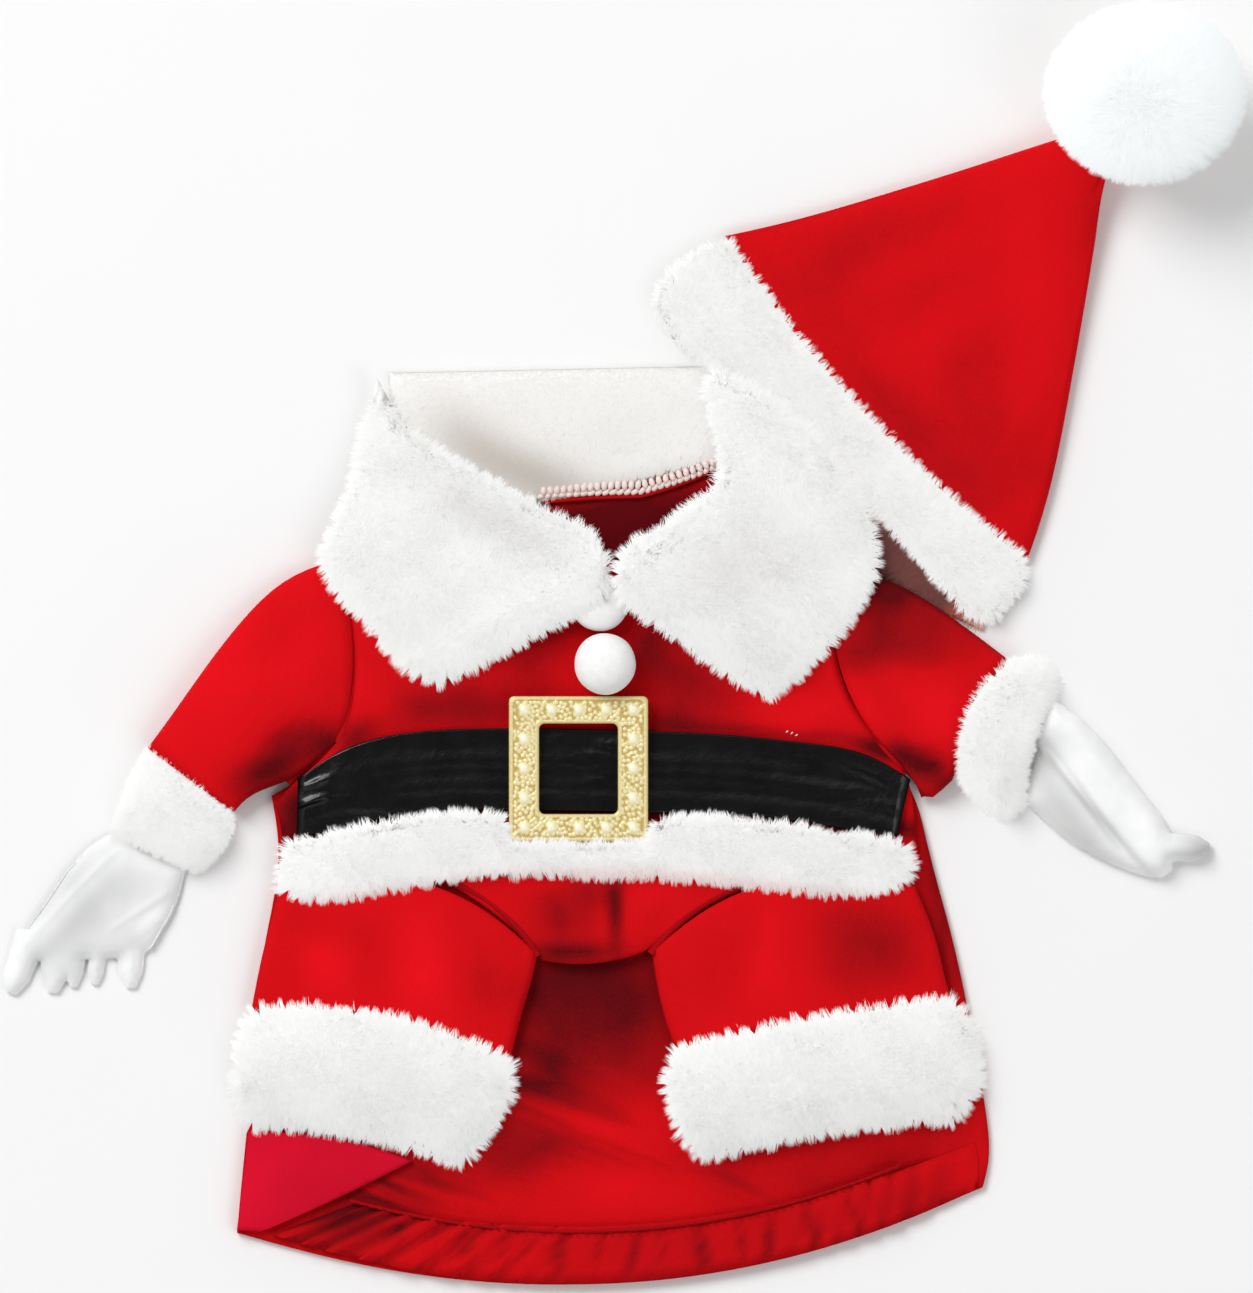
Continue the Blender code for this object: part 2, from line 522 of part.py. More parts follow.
def sheet(name, where, rows, steps, across, wall, look, height):
    """A sheet of cloth: a grid over its rows, drawn down by the wall.

    height gives the upper face's height at a row, a share across it and its plan point.
    """
    mesh = bmesh.new()
    grid = []
    for row in spread(rows, steps):
        line = []
        for column in range(across + 1):
            share = column / across
            x, y = on_line(row, share)
            line.append(mesh.verts.new(Vector((x, y, height(row, share, x, y))) * MM))
        grid.append(line)
    for upper, lower in zip(grid, grid[1:]):
        for column in range(across):
            mesh.faces.new((upper[column], lower[column], lower[column + 1], upper[column + 1]))
    drawn = bmesh.ops.extrude_face_region(mesh, geom=mesh.faces[:])
    low = [part for part in drawn["geom"] if isinstance(part, bmesh.types.BMVert)]
    bmesh.ops.translate(mesh, verts=low, vec=(0, 0, -wall * MM))
    return finish(name, mesh, where, look)


def section(row, sides, folds, inset):
    """Points of a flattened ring round a row's line.

    inset draws the ring inwards from all its sides, for the inner face of a tube.
    """
    width = (Vector((row.x2, row.y2)) - Vector((row.x1, row.y1))).length
    margin = inset * SIDE_WALL / width
    points = []
    for side in range(sides):
        angle = 2 * math.pi * side / sides
        share = 0.5 - 0.5 * signed_power(math.cos(angle), SIDE_POWER)
        lift = 0.5 + 0.5 * signed_power(math.sin(angle), TOP_POWER)
        lift = max(0.0, (lift - FLAT_SHARE) / (1 - FLAT_SHARE))
        share = margin + share * (1 - 2 * margin)
        x, y = on_line(row, share)
        low = row.low1 + (row.low2 - row.low1) * share
        z = low + inset + (row.high - 2 * inset) * lift
        if math.sin(angle) > 0:
            z += fold_rise(folds, x, y) * math.sin(angle)
        points.append(Vector((x, y, z)))
    return points


def close_ring(mesh, ring):
    """Faces over a ring's end, from its upper to its lower points."""
    last = len(ring) - 1
    mesh.faces.new((ring[0], ring[1], ring[last]))
    for side in range(1, len(ring) // 2 - 1):
        mesh.faces.new((ring[side], ring[side + 1], ring[last - side], ring[last - side + 1]))
    half = len(ring) // 2
    mesh.faces.new((ring[half - 1], ring[half], ring[half + 1]))


def join_rings(mesh, one, other):
    """Faces between two rings of as many points."""
    for side in range(len(one)):
        after = (side + 1) % len(one)
        mesh.faces.new((one[side], one[after], other[after], other[side]))


def rings_of(mesh, rows, sides, folds, inner):
    """The points of all rings of one face of a piece."""
    rings = []
    for row in rows:
        points = section(row, sides, folds, row.wall if inner else 0.0)
        rings.append([mesh.verts.new(point * MM) for point in points])
    for one, other in zip(rings, rings[1:]):
        join_rings(mesh, one, other)
    return rings


def tube(name, where, rows, steps, sides, look, folds=()):
    """A flattened tube that is open at both ends."""
    mesh = bmesh.new()
    spread_rows = spread(rows, steps)
    outer = rings_of(mesh, spread_rows, sides, folds, False)
    inner = rings_of(mesh, spread_rows, sides, folds, True)
    join_rings(mesh, outer[0], inner[0])
    join_rings(mesh, outer[-1], inner[-1])
    return finish(name, mesh, where, look)


def pad(name, where, rows, steps, sides, look, folds=()):
    """A closed flattened roll of plush. Without steps it keeps its rows as they are."""
    mesh = bmesh.new()
    rings = rings_of(mesh, spread(rows, steps) if steps else rows, sides, folds, False)
    close_ring(mesh, rings[0])
    close_ring(mesh, rings[-1])
    return finish(name, mesh, where, look)


def finger_rows(finger):
    """Cross rings of a finger, with a rounded end."""
    start = Vector((finger.x1, finger.y1))
    way = Vector((finger.x2, finger.y2)) - start
    side = Vector((way.y, -way.x)).normalized()
    rows = []
    for along, share in ((0.0, 1.0), (0.45, 1.0), (0.88, 0.97), (0.97, 0.8), (1.0, 0.5)):
        half = (finger.width1 + (finger.width2 - finger.width1) * along) * share / 2
        centre = start + way * along
        one = centre - side * half
        two = centre + side * half
        rows.append(Ring(*one, *two, 0.0, 0.0, 0.0, finger.high * (0.4 + 0.6 * share), 0.0))
    return rows


def unite(target, guides):
    """Joins guides to an object."""
    for guide in guides:
        hide(guide)
        join = target.modifiers.new("join_" + guide.name, "BOOLEAN")
        join.operation = "UNION"
        join.object = guide


def height_on(rows, x, y):
    """Height of a sheet's upper face over a plan point, where its rows run across."""
    places = knots(rows)
    near, far = 0.0, places[-1]
    for _ in range(24):
        place = (near + far) / 2
        row = row_at(rows, places, place)
        share = min(1.0, max(0.0, (x - row.x1) / (row.x2 - row.x1)))
        if on_line(row, share).y > y:
            near = place
        else:
            far = place
    return crowned(row, share)


def lies_flat(row, share, x, y):
    return crowned(row, share)


def front_height(row, share, x, y):
    return crowned(row, share) + fold_rise(FRONT_FOLDS, x, y)


def gusset_height(row, share, x, y):
    return crowned(row, share) + fold_rise(GUSSET_FOLDS, x, y)


def casing_height(row, share, x, y):
    """The casing rises in gathers, closer and higher to the right."""
    turn = 2 * math.pi * GATHERS * (share + 0.02 * math.sin(5 * math.pi * share))
    strength = 0.55 + 0.45 * math.sin(7.3 * share + 0.8)
    return crowned(row, share) + GATHER_RISE * strength * (1 - math.cos(turn)) / 2


def belt_height(row, share, x, y):
    """The belt lies on the front and has two folds along it."""
    ridges = sum(math.exp(-(((share - fold) / BELT_FOLD_WIDTH) ** 2)) for fold in BELT_FOLDS)
    panel = height_on(COAT_FRONT, x, y) + fold_rise(FRONT_FOLDS, x, y)
    return panel + GAP + BELT_CLOTH + BELT_FOLD_RISE * ridges


def make_coat(where):
    """The coat's panels and the hem."""
    sheet("coat_back", where, COAT_BACK, 16, 10, CLOTH, red_cloth("coat_back"), lies_flat)
    sheet("coat_front", where, COAT_FRONT, 14, 16, CLOTH, red_cloth("coat_front"), front_height)
    gusset_look = red_cloth("crotch_gusset")
    sheet("crotch_gusset", where, CROTCH_GUSSET, 6, 12, CLOTH, gusset_look, gusset_height)
    fold_look = red_cloth("coat_back_fold")
    sheet("coat_back_fold", where, BACK_FOLD, 6, 8, CLOTH, fold_look, lies_flat)
    casing_look = red_cloth("hem_casing")
    columns = GATHERS * 5
    sheet("hem_casing", where, HEM_CASING, 2, columns, CASING_CLOTH, casing_look, casing_height)


def make_legs(where):
    """The trouser legs and their plush bands."""
    tube("leg_left", where, LEG_LEFT, 6, 20, red_cloth("leg_left"), LEG_LEFT_FOLDS)
    tube("leg_right", where, LEG_RIGHT, 6, 20, red_cloth("leg_right"), LEG_RIGHT_FOLDS)
    tube("leg_cuff_left", where, LEG_CUFF_LEFT, 4, 20, white_plush("leg_cuff_left"))
    tube("leg_cuff_right", where, LEG_CUFF_RIGHT, 4, 20, white_plush("leg_cuff_right"))


def make_belt(where, guides):
    """The belt, the plush below it and the buckle."""
    leather = material("belt_gloss", 0.012, 0.012, 0.014, 0.25)
    sheet("belt", where, BELT, 16, 10, BELT_CLOTH, leather, belt_height)
    pad("waist_trim", where, WAIST_TRIM, None, 12, white_plush("waist_trim"))
    make_buckle(where, guides)


def box(name, where, size, centre, look):
    """A box from a primitive, with its scale applied."""
    mesh = bmesh.new()
    bmesh.ops.create_cube(mesh, size=1.0)
    bmesh.ops.scale(mesh, verts=mesh.verts[:], vec=Vector(size) * MM)
    bmesh.ops.translate(mesh, verts=mesh.verts[:], vec=Vector(centre) * MM)
    return finish(name, mesh, where, look)


def stud_centres():
    """Places of the studs, evenly round the frame's band."""
    across = (BUCKLE_WIDTH - BUCKLE_BAND_X) / 2
    along = (BUCKLE_HEIGHT - BUCKLE_BAND_Y) / 2
    last = STUDS_A_SIDE - 1
    for column in range(STUDS_A_SIDE):
        for row in range(STUDS_A_SIDE):
            if column in (0, last) or row in (0, last):
                yield across * (2 * column / last - 1), along * (2 * row / last - 1)


def make_buckle(where, guides):
    """The buckle's frame, its window and its studs."""
    gold = material("buckle_gold", 0.86, 0.68, 0.30, 0.3, 0.6)
    x, y = BUCKLE_CENTRE
    middle_z = BUCKLE_LOW + BUCKLE_THICK / 2
    size = (BUCKLE_WIDTH, BUCKLE_HEIGHT, BUCKLE_THICK)
    frame = box("buckle", where, size, (x, y, middle_z), gold)
    rounding = frame.modifiers.new("round_edges", "BEVEL")
    rounding.width = 1.0 * MM
    rounding.segments = 2
    window_size = (
        BUCKLE_WIDTH - 2 * BUCKLE_BAND_X,
        BUCKLE_HEIGHT - 2 * BUCKLE_BAND_Y,
        3 * BUCKLE_THICK,
    )
    window = box("buckle_window", guides, window_size, (x, y, middle_z), gold)
    corners = window.modifiers.new("round_corners", "BEVEL")
    corners.width = 2.0 * MM
    corners.segments = 3
    hide(window)
    cut = frame.modifiers.new("window", "BOOLEAN")
    cut.operation = "DIFFERENCE"
    cut.object = window
    mesh = bmesh.new()
    for dx, dy in stud_centres():
        made = bmesh.ops.create_cone(
            mesh,
            cap_ends=True,
            segments=8,
            radius1=STUD_RADIUS * MM,
            radius2=STUD_RADIUS * STUD_TOP_SHARE * MM,
            depth=(STUD_RISE + STUD_SUNK) * MM,
        )
        stud_z = BUCKLE_LOW + BUCKLE_THICK + (STUD_RISE - STUD_SUNK) / 2
        bmesh.ops.translate(mesh, verts=made["verts"], vec=Vector((x + dx, y + dy, stud_z)) * MM)
    unite(frame, [finish("buckle_studs", mesh, guides, gold)])


def make_balls(where):
    """The two felt balls that look like buttons."""
    for name, ball in (("button_upper", BALL_UPPER), ("button_lower", BALL_LOWER)):
        x, y, radius, height = ball
        mesh = bmesh.new()
        bmesh.ops.create_uvsphere(mesh, u_segments=12, v_segments=8, radius=1.0)
        bmesh.ops.scale(mesh, verts=mesh.verts[:], vec=Vector((radius, radius, height / 2)) * MM)
        centre = Vector((x, y, BALL_LOW + height / 2)) * MM
        bmesh.ops.translate(mesh, verts=mesh.verts[:], vec=centre)
        finish(name, mesh, where, white_plush(name))


def make_collar(where):
    """The collar's stand and its two halves."""
    pad("collar_back", where, COLLAR_BACK, 7, 20, white_plush("collar_back"))
    pad("collar_left", where, COLLAR_LEFT, 12, 16, white_plush("collar_left"))
    pad("collar_right", where, COLLAR_RIGHT, 12, 16, white_plush("collar_right"))


def make_arms(where, guides):
    """The sleeves, their plush bands and the gloves."""
    tube("sleeve_left", where, SLEEVE_LEFT, 6, 18, red_cloth("sleeve_left"), SLEEVE_LEFT_FOLDS)
    tube("sleeve_right", where, SLEEVE_RIGHT, 5, 18, red_cloth("sleeve_right"), SLEEVE_RIGHT_FOLDS)
    tube("sleeve_cuff_left", where, SLEEVE_CUFF_LEFT, 4, 18, white_plush("sleeve_cuff_left"))
    tube("sleeve_cuff_right", where, SLEEVE_CUFF_RIGHT, 4, 18, white_plush("sleeve_cuff_right"))
    satin = material("glove_satin", 0.88, 0.88, 0.86, 0.5)
    left = pad("glove_left", where, GLOVE_LEFT_PALM, 5, 14, satin)
    fingers = []
    for number, finger in enumerate(FINGERS_LEFT):
        fingers.append(pad(f"finger_left_{number}", guides, finger_rows(finger), 4, 8, satin))
    unite(left, fingers)
    right = pad("glove_right", where, GLOVE_RIGHT_UPPER, 7, 12, satin)
    lower = pad("glove_right_fold", guides, GLOVE_RIGHT_LOWER, 6, 12, satin)
    thumb = pad("thumb_right", guides, finger_rows(THUMB_RIGHT[0]), 4, 8, satin)
    unite(right, [lower, thumb])


def lock_length(direction):
    """How far a lock reaches from the pompom's centre."""
    shares = [way / radius for way, radius in zip(direction, POMPOM_RADII)]
    return 1 / Vector(shares).length


def make_pompom(where):
    """The hat's pompom: a core whose faces carry locks that stand apart but for their roots."""
    centre = Vector(POMPOM_CENTRE)
    tip = HAT_CONE[-1]
    to_tip = Vector(((tip.x1 + tip.x2) / 2, (tip.y1 + tip.y2) / 2, tip.low1 + tip.high / 2)) - centre
    mesh = bmesh.new()
    bmesh.ops.create_icosphere(mesh, subdivisions=3, radius=POMPOM_CORE * MM)
    roots = []
    for number, face in enumerate(mesh.faces):
        away = face.calc_center_median().angle(to_tip)
        if number % 4 and away > TIP_CLEARANCE:
            roots.append(face)
    bmesh.ops.inset_individual(mesh, faces=roots, thickness=LOCK_ROOT_INSET * MM, depth=0.0)
    for number, face in enumerate(roots):
        lean = Vector((math.sin(number * 2.4), math.cos(number * 1.7), 0.0)) * LOCK_LEAN
        direction = (face.calc_center_median().normalized() + lean).normalized()
        reach = lock_length(direction) * (1.0 - LOCK_UNEVENNESS * math.sin(number * 2.4) ** 2)
        point = bmesh.ops.poke(mesh, faces=[face])["verts"][0]
        point.co = direction * reach * MM
    bmesh.ops.translate(mesh, verts=mesh.verts[:], vec=centre * MM)
    finish("hat_pompom", mesh, where, white_plush("hat_pompom"))


def make_hat(where):
    """The hat's cone, its brim and its pompom."""
    tube("hat_cone", where, HAT_CONE, 9, 20, red_cloth("hat_cone"), HAT_FOLDS)
    pad("hat_brim_back", where, HAT_BRIM_BACK, 6, 20, white_plush("hat_brim_back"))
    pad("hat_brim_front", where, HAT_BRIM_FRONT, 6, 20, white_plush("hat_brim_front"))
    make_pompom(where)


def main():
    clear_scene()
    costume = collection("dog_santa_costume")
    guides = collection("guides", hidden=True)
    make_coat(costume)
    make_legs(costume)
    make_belt(costume, guides)
    make_balls(costume)
    make_collar(costume)
    make_arms(costume, guides)
    make_hat(costume)


main()
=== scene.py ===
"""Looks of a dog's Santa costume and its hat, which lie flat with the front up.

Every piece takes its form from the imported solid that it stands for. Sizes in the tables are in
millimetres in the frame of the costume: X to the right, Y towards the hat and Z up.
"""
import math
from collections import namedtuple

import bmesh
import bpy
import numpy as np
from bpy.props import FloatProperty, FloatVectorProperty, IntProperty, PointerProperty
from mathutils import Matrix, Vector
from mathutils.bvhtree import BVHTree
from mathutils.kdtree import KDTree


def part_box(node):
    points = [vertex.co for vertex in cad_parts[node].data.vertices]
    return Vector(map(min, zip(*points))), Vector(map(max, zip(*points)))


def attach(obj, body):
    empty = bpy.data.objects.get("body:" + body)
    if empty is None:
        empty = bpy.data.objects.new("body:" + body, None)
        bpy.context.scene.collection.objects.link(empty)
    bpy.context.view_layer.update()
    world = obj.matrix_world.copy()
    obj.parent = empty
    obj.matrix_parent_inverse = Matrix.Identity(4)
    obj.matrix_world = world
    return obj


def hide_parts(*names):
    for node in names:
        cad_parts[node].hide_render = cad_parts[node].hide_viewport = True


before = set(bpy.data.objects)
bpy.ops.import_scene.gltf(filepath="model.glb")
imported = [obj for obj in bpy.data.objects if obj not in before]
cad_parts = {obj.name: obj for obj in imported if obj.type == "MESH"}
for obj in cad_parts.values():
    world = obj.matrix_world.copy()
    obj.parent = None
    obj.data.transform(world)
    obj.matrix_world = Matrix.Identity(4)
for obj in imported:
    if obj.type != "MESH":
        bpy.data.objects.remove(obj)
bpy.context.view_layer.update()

bl_info = {
    "name": "Dog Santa Costume",
    "version": (1, 0, 0),
    "blender": (4, 5, 0),
    "location": "3D Viewport > Sidebar > Costume",
    "description": "Dresses a flat dog costume in fleece, plush, a glossy belt and a gilt buckle",
    "category": "Object",
}

MM = 0.001
BODY = "root"

# Points nearer than this are one point of a solid
WELD = 0.00001

# A sharp edge that turns by less than this runs on smoothly there
CORNER = math.radians(38)

# How much deeper the pile's roots lie at a plush piece's sides than on its top
SIDE_DEPTH = 2.2

# How many spikes of a pile draw together into one tuft, and strands into a lock of the pompom
PER_TUFT = 24
PER_LOCK = 26

# The pile stands where nothing lies within this in front of the backing, and where the backing
# faces up or not far down; farther off than the third nothing is looked for
HAIR_ROOM = 6.0
UNDERSIDE = -0.45
FARTHEST = 30.0

# The crown of the pompom, from which its hair lies away all round
CROWN = (-0.12, -0.3, 0.94)

# How far the pile stays above the surface
CLEAR = 0.3

# Left of and above this place on the plan the collar's fold is bare of pile
FOLDED_CORNER = (-77.0, 125.5)

# The plan place of the right shoulder's edge, and the way in under it
SHOULDER = (103, 59)
UNDER_SHOULDER = (-0.53, -0.85)

# Where along X the hem's casing starts to run out flat and where it is flat, the height that it
# comes down to, and how far it does
CASING_END = (92.0, 118.0)
PANEL_TOP = 2.05
CASING_FALL = 0.92

# How wide the buckle's sides are, and its top and bottom, the steps of the face across them,
# and how wide its plain rims are
BAND = np.array((10.2, 9.2))
FACE_STEPS = 27
RIM = 1.1

# How wide the faces of a glove's skin are, and how far in from its outline it rounds off
GLOVE_FACE = 0.64
GLOVE_EDGE = 6.5

# After each smoothing step of half the way, a step of this share back out keeps a part's size
BACK_OUT = 0.52

# The photographed field: its width and height and its middle on the surface
FIELD = (426.0, 439.6)
FIELD_MIDDLE = (4.9, 41.3)
CAMERA_HEIGHT = 8000.0

# A cloth piece: how finely its solid is divided, and its cut's width, length and share of that
Cloth = namedtuple("Cloth", "node cuts rounds width length share held rests_on")

# A plush piece: its spikes, their length, width, root depth and lean, how far those at its sides
# draw together into tufts, and the cut of its backing
Plush = namedtuple(
    "Plush",
    "node spikes length width depth nap_x nap_y stand tuft width_cut length_cut share rests_on",
)

# A seam allowance along a line from point 1 to point 2, bowed to the left of that way
Seam = namedtuple("Seam", "x1 y1 x2 y2 bow height radius shade")

# A run of stitches from point 1 to point 2, bowed to the left of that way
Stitches = namedtuple("Stitches", "x1 y1 x2 y2 bow height pitch long thick slant")

# A glove: its cut's width, length and share of that, and its height
Glove = namedtuple("Glove", "node cuff width length share high")

# Creases of the cloth: x1, y1, x2, y2, half their width, and their rise, which is below 0 in a
# trough
CREASES = {
    "coat_back": [
        (-100, -136, 40, -146, 16, 0.5),
        (-30, -70, 10, -125, 24, -0.7),
        (30, -112, 112, -100, 18, 0.6),
        (98, -10, 118, -100, 5, 0.8),
        (107, -47, 115, -79, 1.2, -0.5),
        (-60, -128, -10, -140, 12, -0.5),
    ],
    "coat_front": [
        (-84, 20, -44, 15, 5, 0.5),
        (-62, 34, -20, 22, 9, 0.7),
        (-80, 30, -58, 18, 6, -0.5),
        (-30, 40, -22, 16, 8, -0.7),
        (14, 40, 22, 14, 9, -0.8),
        (40, 24, 70, 14, 7, 0.6),
        (56, 12, 84, 22, 5, 0.5),
        (60, 34, 80, 26, 5, -0.4),
    ],
    "crotch_gusset": [
        (-2, -38, -1, -66, 2.6, 0.5),
        (2, -38, 2.5, -64, 2.4, -0.6),
        (5, -40, 6.5, -60, 5, 0.4),
        (-24, -42, -14, -58, 4, -0.6),
        (20, -42, 14, -56, 4, -0.5),
    ],
    "leg_left": [
        (-112, -50, -86, -62, 6, -0.8),
        (-96, -44, -98, -78, 8, 0.6),
        (-88, -44, -60, -58, 6, 0.7),
        (-82, -50, -84, -76, 6, -0.5),
        (-60, -56, -36, -90, 6, -0.45),
        (-44, -52, -34, -74, 5, 0.5),
    ],
    "leg_right": [
        (50, -46, 38, -86, 4.5, -0.8),
        (56, -44, 46, -84, 5, 0.6),
        (28, -60, 30, -92, 6, 0.5),
        (66, -44, 60, -84, 8, 0.5),
        (84, -50, 104, -72, 9, -0.3),
    ],
    "sleeve_left": [
        (-98, 16, -122, 6, 4, -1.4),
        (-96, 22, -126, 12, 4, 0.7),
        (-100, 34, -134, 22, 7, 0.7),
        (-98, 60, -116, 30, 8, -0.5),
    ],
    "sleeve_right": [
        (102, -2.2, 114, 2.6, 1.8, -1.8),
        (98, 10, 116, 9, 4, 0.9),
        (92, 40, 122, 22, 7, 0.8),
        (84, 60, 100, 34, 7, -0.8),
    ],
    "hat_cone": [
        (72, 158, 140, 186, 8, 0.6),
        (60, 168, 122, 196, 7, -0.4),
        (108, 122, 146, 160, 8, -0.3),
        (90, 128, 134, 168, 10, 0.7),
        (80, 140, 110, 158, 8, -0.25),
        (128, 98, 148, 140, 6, 0.4),
    ],
    "hem_casing": [
        (-74, -150, -72, -166, 2.2, -0.9),
        (-62, -151, -61, -169, 1.6, -0.6),
        (-51, -152, -50, -171, 2.6, -1.0),
        (-38, -153, -38.5, -172, 1.8, -0.7),
        (-29, -154, -28, -168, 1.4, -0.5),
        (-16, -155, -17, -174, 2.8, -1.1),
        (-5, -155, -4.5, -172, 1.6, -0.6),
        (8, -155, 7, -175, 2.2, -0.9),
        (17, -155, 18, -170, 1.4, -0.5),
        (30, -154, 31, -174, 2.8, -1.0),
        (43, -153, 44, -171, 1.8, -0.7),
        (53, -151, 56, -170, 2.2, -0.9),
        (67, -147, 71, -167, 2.6, -0.8),
        (80, -143, 85, -160, 1.6, -0.5),
    ],
    "coat_back_fold": [
        (-118, -130, -84, -136, 7, 0.6),
        (-122, -144, -100, -146, 5, -0.4),
    ],
    "belt": [
        (-104.5, -7.5, -98, -1.5, 1.1, 1.2),
        (-105.5, -15, -98, -8, 1.2, 1.3),
        (-99, -12, -92, -9, 1.4, 0.5),
        (-101, -2, -92, 3, 1.8, -0.5),
        (-98, -14, -70, -11, 1.6, 0.25),
        (74, -8, 96, -12, 1.6, 0.4),
        (70, 2, 94, -4, 1.8, -0.4),
        (60, 5, 90, 1, 2.4, 0.3),
        (-19, 2, -16, 12, 1.2, 1.0),
        (-4, 3, -1, 12, 1.1, 1.1),
        (-19, -5, -17, 0, 1.0, 0.7),
        (-4, -5, -2, 0, 1.0, 0.7),
    ],
    "glove_left": [
        (-160, -21, -210, -72, 1.2, 0.45),
        (-157, -27, -204, -73, 4.0, -0.2),
        (-149, -39, -172, -58.5, 1.2, 0.4),
        (-147, -43, -170, -63, 2.4, -0.5),
        (-171, -26, -192, -50, 3.0, -0.5),
    ],
    "glove_right": [
        (140, 14.5, 184, -38, 1.7, -2.6),
        (148, 15, 184, -28, 3.0, 0.5),
        (158, 13, 178, -9, 2.6, -0.4),
    ],
}

# Patches of painted shade and painted light: shadows under the collar, the belt and the brim,
# shade in folds and seams, and nap that lies another way. Middle x and y, half their length and
# width, turn in degrees, and how much darker they are painted, or lighter below 0, as painted light
PAINTED_SHADE_AND_LIGHT = {
    "coat_back": [
        (-4, -74, 32, 16, 0, 0.46),
        (-24, -98, 20, 16, 0, 0.05),
        (-28, -114, 15, 22, 0, 0.4),
        (-18, -119, 12, 5, -8, 0.26),
        (15, -86, 6, 16, 0, 0.2),
        (-2, -129, 13, 20, 0, -0.42),
        (-40, -148, 18, 8, -6, -0.1),
        (-74, -143, 22, 8, 16, 0.46),
        (52, -136, 18, 7, 12, 0.3),
        (0, 78, 44, 18, 0, 0.56),
        (20, 90, 14, 5, 10, 0.2),
        (110, -56, 8, 50, 5, 0.24),
    ],
    "coat_front": [
        (-22, 42, 16, 7, 28, 0.2),
        (12, 42, 9, 10, -30, 0.36),
        (28, 29, 16, 9, -30, 0.26),
        (-54, 19, 28, 7, 6, 0.32),
        (-88, 10, 8, 5, 30, 0.36),
        (50, 12, 40, 3, -4, 0.3),
        (94, 6, 10, 3, -8, 0.4),
        (94, 5, 10, 4, -20, 0.3),
        (-84, 28, 10, 10, 0, -0.1),
        (66, 20, 16, 9, 0, -0.16),
        (-108, -14, 8, 12, 0, 0.5),
        (21, 16, 12, 6, 0, 0.26),
        (-66, -18, 44, 4, 7, 0.9),
        (0, -14, 40, 3.5, 0, 0.9),
        (62, -17, 46, 4, -6, 0.9),
        (-46, 28, 16, 6, 10, 0.14),
    ],
    "crotch_gusset": [
        (-16, -52, 16, 12, 0, 0.16),
        (-6, -42, 9, 6, 0, 0.2),
        (1, -48, 3.5, 14, 0, 0.4),
        (-14, -63, 18, 4, 0, 0.45),
        (14, -44, 12, 7, 0, -0.14),
    ],
    "leg_left": [
        (-63, -66, 12, 18, 0, -0.38),
        (-96, -66, 10, 14, 10, -0.26),
        (-38, -66, 9, 24, 25, 0.12),
    ],
    "leg_right": [
        (47, -64, 8, 20, -20, -0.24),
        (59, -73, 10, 14, 0, -0.14),
        (28, -76, 9, 14, 0, 0.1),
        (84, -60, 26, 20, 0, 0.22),
    ],
    "sleeve_left": [
        (-128, 30, 22, 18, 50, -0.14),
        (-104, 48, 10, 20, 0, -0.2),
        (-116, 0, 16, 8, 25, 0.6),
        (-96, 8, 7, 8, 0, 0.4),
    ],
    "sleeve_right": [
        (112, 20, 14, 12, 0, -0.2),
        (85, 22, 5, 10, 30, -0.2),
        (82, 39, 9, 8, 0, 0.26),
        (102, 38, 12, 7, 0, 0.22),
        (98, 6, 12, 5, 0, 0.3),
        (101, 55, 30, 14, -32, 0.4),
        (101, 1, 12, 7, 10, 0.3),
        (112, -4, 8, 6, 0, 0.36),
        (94, 62, 8, 6, -30, 0.26),
    ],
    "hat_cone": [
        (98, 116, 46, 10, -48, 0.2),
        (150, 202, 16, 16, 0, -0.16),
        (78, 166, 40, 18, 10, 0.1),
        (134, 112, 18, 22, 20, 0.12),
        (142, 164, 14, 34, 0, -0.2),
        (86, 146, 18, 12, 0, -0.08),
    ],
    "hem_casing": [
        (-92, -152, 20, 10, 0, 0.4),
        (-40, -160, 76, 20, -6, 0.1),
        (50, -156, 60, 20, 8, 0.14),
        (118, -138, 14, 10, 0, -0.12),
        (96, -146, 18, 10, 24, 0.12),
    ],
    "coat_back_fold": [
        (-122, -142, 10, 12, 0, -0.25),
    ],
    "collar_back": [
        (-24, 98, 30, 9, -25, 0.7),
        (10, 96, 30, 4, 12, 0.45),
        (-50, 112, 20, 10, -50, 0.3),
        (-6, 116, 80, 34, 0, 0.2),
    ],
    "collar_left": [
        (-40, 84, 36, 7, -28, 0.22),
        (-60, 50, 14, 10, 0, 0.1),
    ],
    "collar_right": [
        (42, 68, 22, 14, 0, 0.22),
        (52, 34, 16, 8, 0, 0.1),
    ],
    "hat_brim_back": [
        (100, 68, 27, 14, -42, 1.5),
    ],
    "waist_trim": [
        (-66, -43, 50, 2.6, 7, 0.5),
        (0, -38, 34, 2.6, -2, 0.45),
        (56, -42, 44, 2.6, -6, 0.5),
    ],
    "glove_left": [
        (-187, -40, 28, 5, 47, 0.35),
        (-186, -56, 26, 5, 48, 0.3),
        (-176, -56, 22, 12, 48, 0.4),
        (-160, -40, 14, 8, 0, 0.22),
        (-164, -60, 10, 2.4, 42, 0.3),
    ],
    "glove_right": [
        (156, -17, 22, 6.5, -48, 0.6),
        (145, 6, 6, 9, 0, 0.8),
        (166, -17, 26, 1.6, -48, 0.5),
        (200, -27, 9, 6, 0, 0.7),
    ],
}

